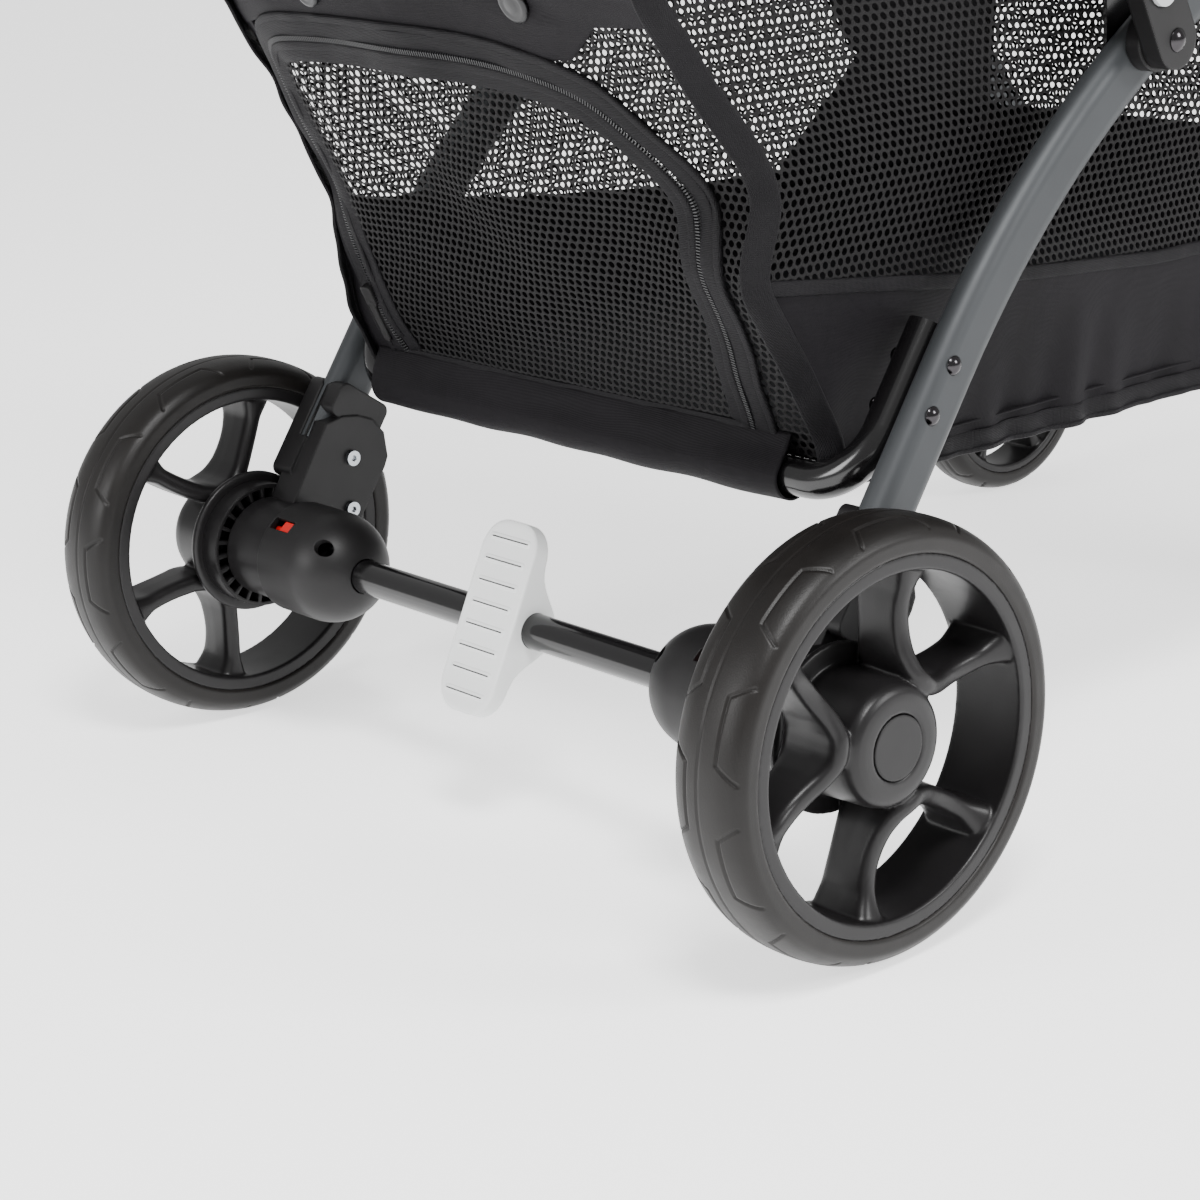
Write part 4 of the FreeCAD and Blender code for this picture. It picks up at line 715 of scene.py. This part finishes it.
def door():
    """Rear door: hole mesh with bound edges, and its half of the zip."""
    line = rounded(ZIP_LINE, 3.0)
    inward = left_of(tangents(line))
    inward *= np.sign((inward * ((0.0, 100.0) - line)).sum(1))[:, None]
    polygon = np.vstack([line + inward * 9, [(-116, DOOR_FOOT), (132, DOOR_FOOT)]])

    def place(u, v, lift):
        slack = np.clip(1 - (u / 150) ** 4, 0, 1) * np.sin(np.clip(v / 205, 0, 1) * math.pi)
        return rear_point(u, v, lift + 0.6 + 2.2 * ripple(u, v, 71, 120.0) * slack)

    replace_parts(net("door_mesh", polygon, place, "door"), "rear_door")
    tapes = (("door_tape", 8.2, 11.5, 1.1, 0.7, 0), ("door_flap", 4.0, 5.5, 1.7, 1.2, 3))
    for label, shift, width, thick, lift, clear in tapes:
        path = (line + inward * shift)[clear:]
        ribbon(label, rear_point(*path.T), OUT, width, thick, lift, 0.35, 3, "door")
    foot = rear_point(np.linspace(-122, 138, 90), DOOR_FOOT)
    ribbon("door_hem", foot, OUT, 12, 1.2, 0.6, 0.5, 8, "door")
    return line, inward


def zip_run(line, inward):
    """Outer tapes of the zip and its coil of teeth."""
    for label, shift, width, thick, seed in (("outer", 5.4, 10.5, 1.2, 4), ("edge", 11.5, 5.0, 1.7, 6)):
        place = rear_point(*(line - inward * shift).T)
        ribbon("zip_tape_" + label, place, OUT, width, thick, 0.9, 0.3, seed)
    teeth = resample(line, 1.55)
    ahead = tangents(teeth)
    base = rear_point(*teeth.T, 1.7)
    along = ahead[:, :1] * RIGHT + ahead[:, 1:] * UP
    across = np.cross(along, OUT)
    shape = np.array([(-0.42, -1.9, -0.3), (0.42, -1.9, -0.3), (0.42, 1.9, -0.3), (-0.42, 1.9, -0.3),
                      (-0.34, -1.3, 1.0), (0.34, -1.3, 1.0), (0.34, 1.3, 1.0), (-0.34, 1.3, 1.0)])
    verts = (base[:, None] + along[:, None] * shape[:, :1] + across[:, None] * shape[:, 1:2]
             + OUT * shape[:, 2:3]).reshape(-1, 3)
    block = [(0, 3, 2, 1), (4, 5, 6, 7), (0, 1, 5, 4), (1, 2, 6, 5), (2, 3, 7, 6), (3, 0, 4, 7)]
    faces = [[8 * k + i for i in face] for k in range(len(teeth)) for face in block]
    coil = piece("zip_coil_teeth", verts, faces, "coil", "rear_frame", smooth=False)


def cabin():
    """Cabin cloth: mesh windows, solid bands, bindings, hem and tube sleeve."""
    line, inward = door()
    zip_run(line, inward)
    outer = line - inward * 13
    right_edge = outer[outer[:, 0] < -60]
    right_edge = right_edge[np.argsort(right_edge[:, 1])]
    slopes = np.linspace(2, 226, 60)
    heights = FLOOR + slopes * UP[2]
    corner = np.stack([2 - seam(RIGHT_SEAM, heights)[0], slopes], 1)
    strip = np.vstack([corner, [(-62, 226), (-62, 208)], right_edge[::-1], [(-112, 2)]])
    net("rear_side_mesh", strip, rear_point)
    panel("rear_top_band", band_place, (130, 60))
    left_half = seam(LEFT_SEAM, heights)[0]

    def strip_place(u, v):
        zip_edge = np.interp(v, [0, 60, 150, 214], [148, 154, 157, 156])
        return rear_point(zip_edge * (1 - u) + u * np.interp(v, slopes, left_half), v)

    panel("rear_left_strip", strip_place, (8, 80), vs=(2, 214))
    bottom_strip()
    sides()
    inner_flaps()
    front_wall()
    floor_cloth()
    bindings()
    snaps()


def band_place(u, v):
    """Top band of the rear wall: its lower edge follows the zip's top."""
    x = -184 + 368 * u
    lower = np.interp(x, [-184, -130, -104, -72, -30, 30, 128, 160, 184],
                      [226, 223, 205, 205, 211, 214, 214, 208, 205])
    s = lower + (330 - lower) * v
    height = FLOOR + s * UP[2]
    half = np.where(x < 0, seam(RIGHT_SEAM, height)[0], seam(LEFT_SEAM, height)[0])
    fold = 1.6 * np.exp(-((s - 246) / 7.0) ** 2) + 1.0 * ripple(x, s * 3, 40, 70.0)
    return rear_point(np.clip(x, -half, half), s, 0.5 + fold * smooth_step(0, 0.2, v))


def bottom_strip():
    """Strip under the door that wraps the support tube, open at its right end."""
    low, high = mm_box("cabin_support_tube")
    tube_radius, sleeve_radius = 9.0, 11.0
    tube_z, tube_y = low[2] + tube_radius, high[1] - tube_radius
    x = np.linspace(-146, 164, 160)
    wrap = []
    for turn in np.radians(np.linspace(10, -112, 22)):
        swell = sleeve_radius + 0.5 * ripple(x, turn * 14, 55, 60.0)
        wrap.append(np.stack([x, tube_y + math.cos(turn) * swell, tube_z + math.sin(turn) * swell], 1))
    head = rear_point(x, 12.0, 0.4)
    rows = [head]
    for t in np.linspace(0.08, 0.92, 12):
        bulge = 1.1 * math.sin(math.pi * t) * ripple(x * 0.6, t * 30, 57, 46.0)
        rows.append(head * (1 - t) + wrap[0] * t + OUT * bulge[:, None])
    rows += wrap
    for share, back in zip(np.arange(1, 10) / 9, np.linspace(tube_y - 8, tube_y - 60, 10)[1:]):
        z = tube_z - sleeve_radius + 14 * share + 0.8 * ripple(x, back, 59, 30.0)
        rows.append(np.stack([x, np.full(len(x), back), z], 1))
    verts = np.stack(rows, 1).reshape(-1, 3)
    made = piece("tube_sleeve", verts, grid_faces(len(x), len(rows)), "cloth", "rear_frame")
    thicken(made, 1.0, 1)


def band_top(share):
    """Height of a side band's upper seam along the wall."""
    return np.interp(share, [0, 0.25, 0.5, 1.0], [289, 270, 259, 256])


def sides():
    """Side walls: gathered solid band with a bound hem, mesh window and top band."""
    for name, sign in SIDES.items():
        wall = side_point(sign)

        def lower(u, v):
            return wall(u, BAND_FOOT + (band_top(u) - BAND_FOOT) * v, 0.5)

        def upper(u, v):
            return wall(u, WINDOW_TOP + (RIM - WINDOW_TOP) * v, 0.5)

        def middle(u, v, lift):
            return wall(u / 560.0, v, lift)

        panel("side_band_" + name, lower, (260, 44))
        panel("side_top_band_" + name, upper, (120, 16))
        window = [(2, 287), (140, 268), (280, 257), (558, 254), (558, 454), (2, 454)]
        net("side_mesh_" + name, window, middle)
        shares = np.linspace(0.004, 0.996, 260)
        out = (sign, 0, 0)
        for label, height, width, thick in (("hem", 189.0, 11.0, 1.6), ("piping", 184.5, 3.4, 2.6)):
            ribbon("side_%s_%s" % (label, name), wall(shares, height), out, width, thick, 0.6, 0.5, 12)
        ribbon("side_seam_" + name, wall(shares, band_top(shares)), out, 7.0, 1.1, 0.8, 0.3, 14)


def inner_flaps():
    """Two cloth flaps that hang inside the left wall and close part of its mesh window."""
    wall = side_point(1.0)
    inset = -3.2

    def at(y, height):
        back = rear_y(height) + seam(LEFT_SEAM, height)[1]
        return wall((y - back) / (front_y(height) - back), height, inset)

    def low(u, v):
        y = -89 - 172 * u
        top = np.interp(-y, [89, 165, 211, 261], [264, 327, 308, 262])
        return at(y, 252 + (top - 252) * v)

    def high(u, v):
        foot = np.interp(131 + 200 * u, [131, 165, 211, 331], [372, 327, 308, 262])
        height = foot + (456 - foot) * v
        return at(-131 + (front_y(height) + 135) * u, height)

    panel("inner_flap_low", low, (70, 40))
    panel("inner_flap_high", high, (70, 40))


def front_wall():
    """Front wall with a mesh window between two solid bands."""
    flat_half = 165.0

    def flat(u, v, lift=0.5):
        return front_point(u * front_half(v) / flat_half, v, lift)

    for label, low, high in (("front_low_band", BAND_FOOT, 280), ("front_top_band", 440, RIM)):
        panel(label, flat, (90, 30), us=(-flat_half, flat_half), vs=(low, high))
    net("front_mesh", [(-164, 278), (164, 278), (164, 442), (-164, 442)], flat)


def floor_cloth():
    """Cloth under the base board."""
    def place(u, v):
        half = 166 + 2 * np.sin(math.pi * v)
        y = REAR_FOOT - 4 + (FRONT_FOOT - REAR_FOOT + 8) * v
        sag = -1.2 * np.sin(math.pi * np.clip(v, 0, 1)) * (1 - np.abs(u) ** 2)
        return np.stack([u * half, y, FLOOR + 0.8 + sag], -1)

    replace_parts(panel("cabin_floor", place, (60, 80), us=(-1, 1)), "cabin_shell")


def bindings():
    """Bindings of the four corners and of the rim."""
    heights = np.linspace(196, 496, 150)
    for name, table, sign in (("right", RIGHT_SEAM, -1), ("left", LEFT_SEAM, 1)):
        half, off = seam(table, heights)
        path = np.stack([sign * half, rear_y(heights) + off, heights], 1)
        ribbon("corner_binding_" + name, path, (sign * 0.75, 0.62, -0.2), 13.5, 1.8, 0.9, 0.9, 16)
        path = np.stack([sign * front_half(heights), front_y(heights), heights], 1)
        ribbon("front_binding_" + name, path, (sign * 0.7, -0.7, 0), 12.0, 1.4, 0.6, 0.5, 18)
    corners = [(TOP_HALF, REAR_TOP), (-TOP_HALF, REAR_TOP), (-TOP_HALF, FRONT_TOP), (TOP_HALF, FRONT_TOP)]
    loop = rounded(resample(corners, 40.0, closed=True), 6.0, closed=True)
    out = np.column_stack([loop - loop.mean(0), np.zeros(len(loop))])
    path = np.column_stack([loop, np.full(len(loop), RIM - 4.0)])
    path, out = np.vstack([path, path[:2]]), np.vstack([out, out[:2]])
    ribbon("rim_binding", path, out, 15.0, 1.6, 0.6, 0.3, 19)


def snaps():
    """Domed snap fasteners on the rear top band."""
    count = 40
    for index, (x, s, radius) in enumerate(((-80, 232, 9.0), (75, 231, 8.0), (0, 268, 8.0))):
        profile = [(0.0, radius), (1.2, radius), (1.9, radius * 0.9), (2.1, radius * 0.72),
                   (1.7, radius * 0.62), (2.3, radius * 0.4), (2.5, 0.15)]
        base = rear_point(x, s, 1.6)
        points = [base + OUT * height + r * (across * RIGHT + rise * UP)
                  for across, rise in arc(360 / count * np.arange(count)) for height, r in profile]
        faces = grid_faces(count, len(profile), wrap_rows=True)
        faces.append([k * len(profile) + len(profile) - 1 for k in range(count)])
        faces.append([k * len(profile) for k in range(count)][::-1])
        made = piece("snap_%d" % index, points, faces, "coil", "rear_frame")


# ------------------------------------------------------------------ canopy
def canopy_arch(share, side, reach):
    """Arch of the sheet, as (x, radius), at a share of the way from its rear edge to its front edge."""
    corner = 30 + 70 * float(smooth_step(0.0, 0.22, share))
    waves = math.sin(math.pi * np.clip(share * 3 - 0.25, 0, 3)) ** 2 if share > 0.08 else 0
    top = reach - 6.0 * waves
    if share < 0.1:
        top = 303 + (reach - 303) * float(smooth_step(0, 0.1, share))
    side = side - 1.5 * waves
    foot = 26.0
    arch = [(side, foot), (side, (foot + top - corner) / 2), (side, top - corner)]
    arch.extend((side - corner, top - corner) + corner * arc(7.5 * np.arange(1, 12)))
    arch += [(side - corner, top), (0, top)]
    return resample(arch + [(-x, r) for x, r in arch[-2::-1]], 1.0)


def canopy():
    """Canopy: one sheet over two bows, joined to the cabin's rim behind."""
    _, axis_y, axis_z = mm_centre("canopy_pivots")
    reach, columns = 320.0, 140
    half = mm_box("canopy_rear_cover")[1][0] - 1.0
    turns = np.radians(np.linspace(-3.9, 130.0, 150))
    rows = []
    for turn in turns:
        line = canopy_arch((turn - turns[0]) / (turns[-1] - turns[0]), half, reach)
        line = line[np.linspace(0, len(line) - 1, columns).astype(int)]
        puff = 1.2 * ripple(line[:, 0] + line[:, 1], math.degrees(turn) * 3, 61, 90.0)
        radius = line[:, 1] + puff * smooth_step(60, 200, line[:, 1])
        y, z = axis_y + radius * math.cos(turn), axis_z + radius * math.sin(turn)
        rows.append(np.stack([line[:, 0], y, z], 1))
    verts = np.stack(rows).reshape(-1, 3)
    made = piece("canopy_sheet", verts, grid_faces(len(turns), columns), "cloth")
    thicken(made, 1.1, 1)
    bpy.context.view_layer.objects.active = made
    bpy.ops.object.modifier_apply(modifier="thickness")
    start, end = [(0, (axis_y + reach * c) * 0.001, (axis_z + reach * s) * 0.001) for c, s in arc([12, 127])]
    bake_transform(made)
    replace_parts(made, "canopy_rear_cover", "canopy_middle_cover", "canopy_front_cover")


# ------------------------------------------------------------------ small pieces
def grip():
    """Foam grip with soft bulges and rounded ends."""
    low, high = mm_box("handle_grip")
    centre = (low + high) / 2
    radius = (high[2] - low[2]) / 2
    half = (high[0] - low[0]) / 2
    profile = [(-half + 0.3, 11.3), (-half, 13.0), (-half + 1.0, radius - 1.6), (-half + 3.2, radius - 0.5)]
    for x in np.linspace(-half + 8, half - 8, 60):
        profile.append((x, radius - 0.5 + 0.35 * math.sin(x / 11.0)))
    profile += [(half - 3.2, radius - 0.5), (half - 1.0, radius - 1.6), (half, 13.0), (half - 0.3, 11.3)]
    verts = revolve_points(profile, 72, centre)
    made = piece("grip_foam", verts, grid_faces(72, len(profile), True, True), "foam", "handle_frame")
    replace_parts(made, "handle_grip")


def mound(half_x, half_y, height, centre, along, out):
    """Low rounded rib: long side across the stroller, crown towards out."""
    rows = []
    for turn in np.radians([0, 18, 36, 54, 70, 82]):
        radius = half_y * math.cos(turn)
        for sx, start in ((1, -90), (-1, 90)):
            for c, s in arc(start + 15 * np.arange(13)):
                x = sx * (half_x - half_y) + radius * c
                rows.append(centre + RIGHT * x + along * (radius * s) + out * (height * math.sin(turn)))
    return np.array(rows), capped_faces(6, 26)


def pedal():
    """Brake pedal: ribbed plate whose back swells into the boss round the tube."""
    centre = mm_centre("brake_tube")
    tilt = math.radians(116)
    along = np.array([0, math.cos(tilt), math.sin(tilt)])
    out = np.array([0, math.sin(tilt), -math.cos(tilt)])
    half_x, half_y, corner, front = 20.4, 49.0, 15.0, 14.8
    edge = ((1.1, 0.0), (0.45, 0.25), (0.1, 0.75), (0.0, 1.4))
    plan = []
    for sx, sy, start in ((1, 1, 0), (-1, 1, 90), (-1, -1, 180), (1, -1, 270)):
        middle = (sx * (half_x - corner), sy * (half_y - corner))
        plan.extend(middle + corner * arc(start + 90 * np.arange(17) / 16))
    plan = resample(plan, 1.6, closed=True)

    def back_at(y):
        """How far back the body reaches at a place along the pedal."""
        swell = np.exp(-np.abs(y / 19.0) ** 2.6)
        return 6.0 - 1.5 * (1 - np.abs(y) / half_y) - 17.6 * swell

    back = back_at(plan[:, 1])
    scales = np.linspace(0.06, 0.9, 14)
    face = np.full(len(plan), front)
    rings = [(plan * scale, face) for scale in scales]
    rings += [(plan * (1 - inset / half_x), face - drop) for inset, drop in edge]
    rings += [(plan, front - 1.4 - (front - 2.8 - back) * t) for t in np.linspace(0.1, 0.9, 9)]
    rings += [(plan * (1 - inset / half_x), back + drop) for inset, drop in edge[::-1]]
    rings += [(plan * scale, back_at(plan[:, 1] * scale)) for scale in scales[::-1]]
    verts = [centre + flat[:, :1] * RIGHT + flat[:, 1:] * along + height[:, None] * out
             for flat, height in rings]
    faces = capped_faces(len(rings), len(plan))
    made = piece("pedal_moulding", np.array(verts).reshape(-1, 3), faces, "pedal")
    face_outwards(made.data)
    cutter = revolve_points([(-40, 0.5), (-40, 9.15), (40, 9.15), (40, 0.5)], 64, centre)
    bore = piece("pedal_cutter", cutter, grid_faces(64, 4, True, True), "pedal")
    cut = made.modifiers.new("bore", "BOOLEAN")
    cut.operation = "DIFFERENCE"
    cut.object = bore
    cut.solver = "EXACT"
    bpy.context.view_layer.objects.active = made
    bpy.ops.object.modifier_apply(modifier="bore")
    bpy.data.objects.remove(bore)
    made.data.polygons.foreach_set("use_smooth", [True] * len(made.data.polygons))
    made.data.set_sharp_from_angle(angle=math.radians(38))
    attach(made, "brake_rocker")
    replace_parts(made, "brake_pedal")
    for index in range(8):
        foot = centre + out * (front - 0.1) + along * (index - 3.5) * 11.2
        verts, faces = mound(15.6, 2.1, 0.62, foot, along, out)
        rib = piece("pedal_rib_%d" % index, verts, faces, "pedal", "brake_rocker")


def paint_cad():
    """Materials of the CAD nodes that stay."""
    finish = {
        "plastic": ["wheel_bracket_", "front_hinge_", "fold_fitting_", "caster_housing_", "caster_fork_",
                    "brake_ring_", "hub_cap_", "fold_bosses", "canopy_pivots", "zip_slider"],
        "dome": ["brake_dome_"],
        "black_tube": ["brake_tube", "cabin_support_tube", "front_rail", "front_cross_tube", "canopy_posts",
                       "canopy_rear_bow", "canopy_front_bow", "cabin_rim_wire"],
        "grey_tube": ["rear_leg_", "front_leg_", "handle_tube_", "handle_bar"],
        "zinc": ["screws_and_nuts", "rear_axle", "caster_axle_"],
        "dark_chrome": ["frame_rivets", "frame_pivot_pins"],
        "red": ["brake_pin_"],
        "board": ["base_board"],
        "button": ["fold_button_"],
    }
    for material, starts in finish.items():
        for name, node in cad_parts.items():
            if any(name.startswith(start) for start in starts):
                for slot in node.material_slots:
                    slot.link = "OBJECT"
                    slot.material = MAT[material]


# ------------------------------------------------------------------ stage
def stage():
    """Pale floor, soft lights and the camera."""
    world = bpy.data.worlds.new("studio")
    bpy.context.scene.world = world
    world.use_nodes = True
    settle(world.node_tree.nodes["Background"], {"Color": (1, 1, 1, 1), "Strength": 0.62})
    material, _, shader = new_material("pale_floor")
    settle(shader, {"Base Color": (0.93, 0.93, 0.93, 1), "Roughness": 0.9, "Emission Color": (1, 1, 1, 1),
                    "Emission Strength": 1.35})
    mesh = bpy.data.meshes.new("floor")
    reach, level = 14.0, -0.0006
    corners = [(-reach, -reach, level), (reach, -reach, level), (reach, reach, level), (-reach, reach, level)]
    mesh.from_pydata(corners, [], [(0, 1, 2, 3)])
    mesh.materials.append(material)
    new_object("floor", mesh)
    for name, place, target, power, size in (
        ("key", (-1.1, 0.9, 2.2), (0, 0.15, 0.2), 62, 0.7),
        ("fill", (0.6, 2.6, 1.1), (0, 0.2, 0.15), 34, 0.9),
        ("back", (-2.3, -0.9, 1.5), (-0.1, 0.1, 0.2), 46, 0.8),
    ):
        data = bpy.data.lights.new(name, "AREA")
        data.energy = power
        data.size = size
        lamp = new_object(name, data)
        lamp.location = place
        lamp.rotation_euler = (Vector(target) - Vector(place)).to_track_quat("-Z", "Y").to_euler()
    data = bpy.data.cameras.new("view")
    data.lens = 84.62
    data.sensor_width = 36.0
    data.clip_start = 0.02
    data.clip_end = 60.0
    azimuth, elevation, roll = 4.0086, 0.3023, -0.0442
    back = np.array([math.sin(azimuth) * math.cos(elevation), -math.cos(azimuth) * math.cos(elevation),
                     math.sin(elevation)])
    right = np.cross([0, 0, 1.0], back)
    right /= np.linalg.norm(right)
    up = np.cross(back, right)
    turned = right * math.cos(roll) + up * math.sin(roll)
    raised = -right * math.sin(roll) + up * math.cos(roll)
    camera = new_object("view", data)
    axes = Matrix([list(turned), list(raised), list(back)]).transposed().to_4x4()
    camera.matrix_world = Matrix.Translation((-1.04429, 1.09875, 0.52483)) @ axes
    bpy.context.scene.camera = camera


stage()
paint_cad()
build_wheels()
cabin()
canopy()
grip()
pedal()
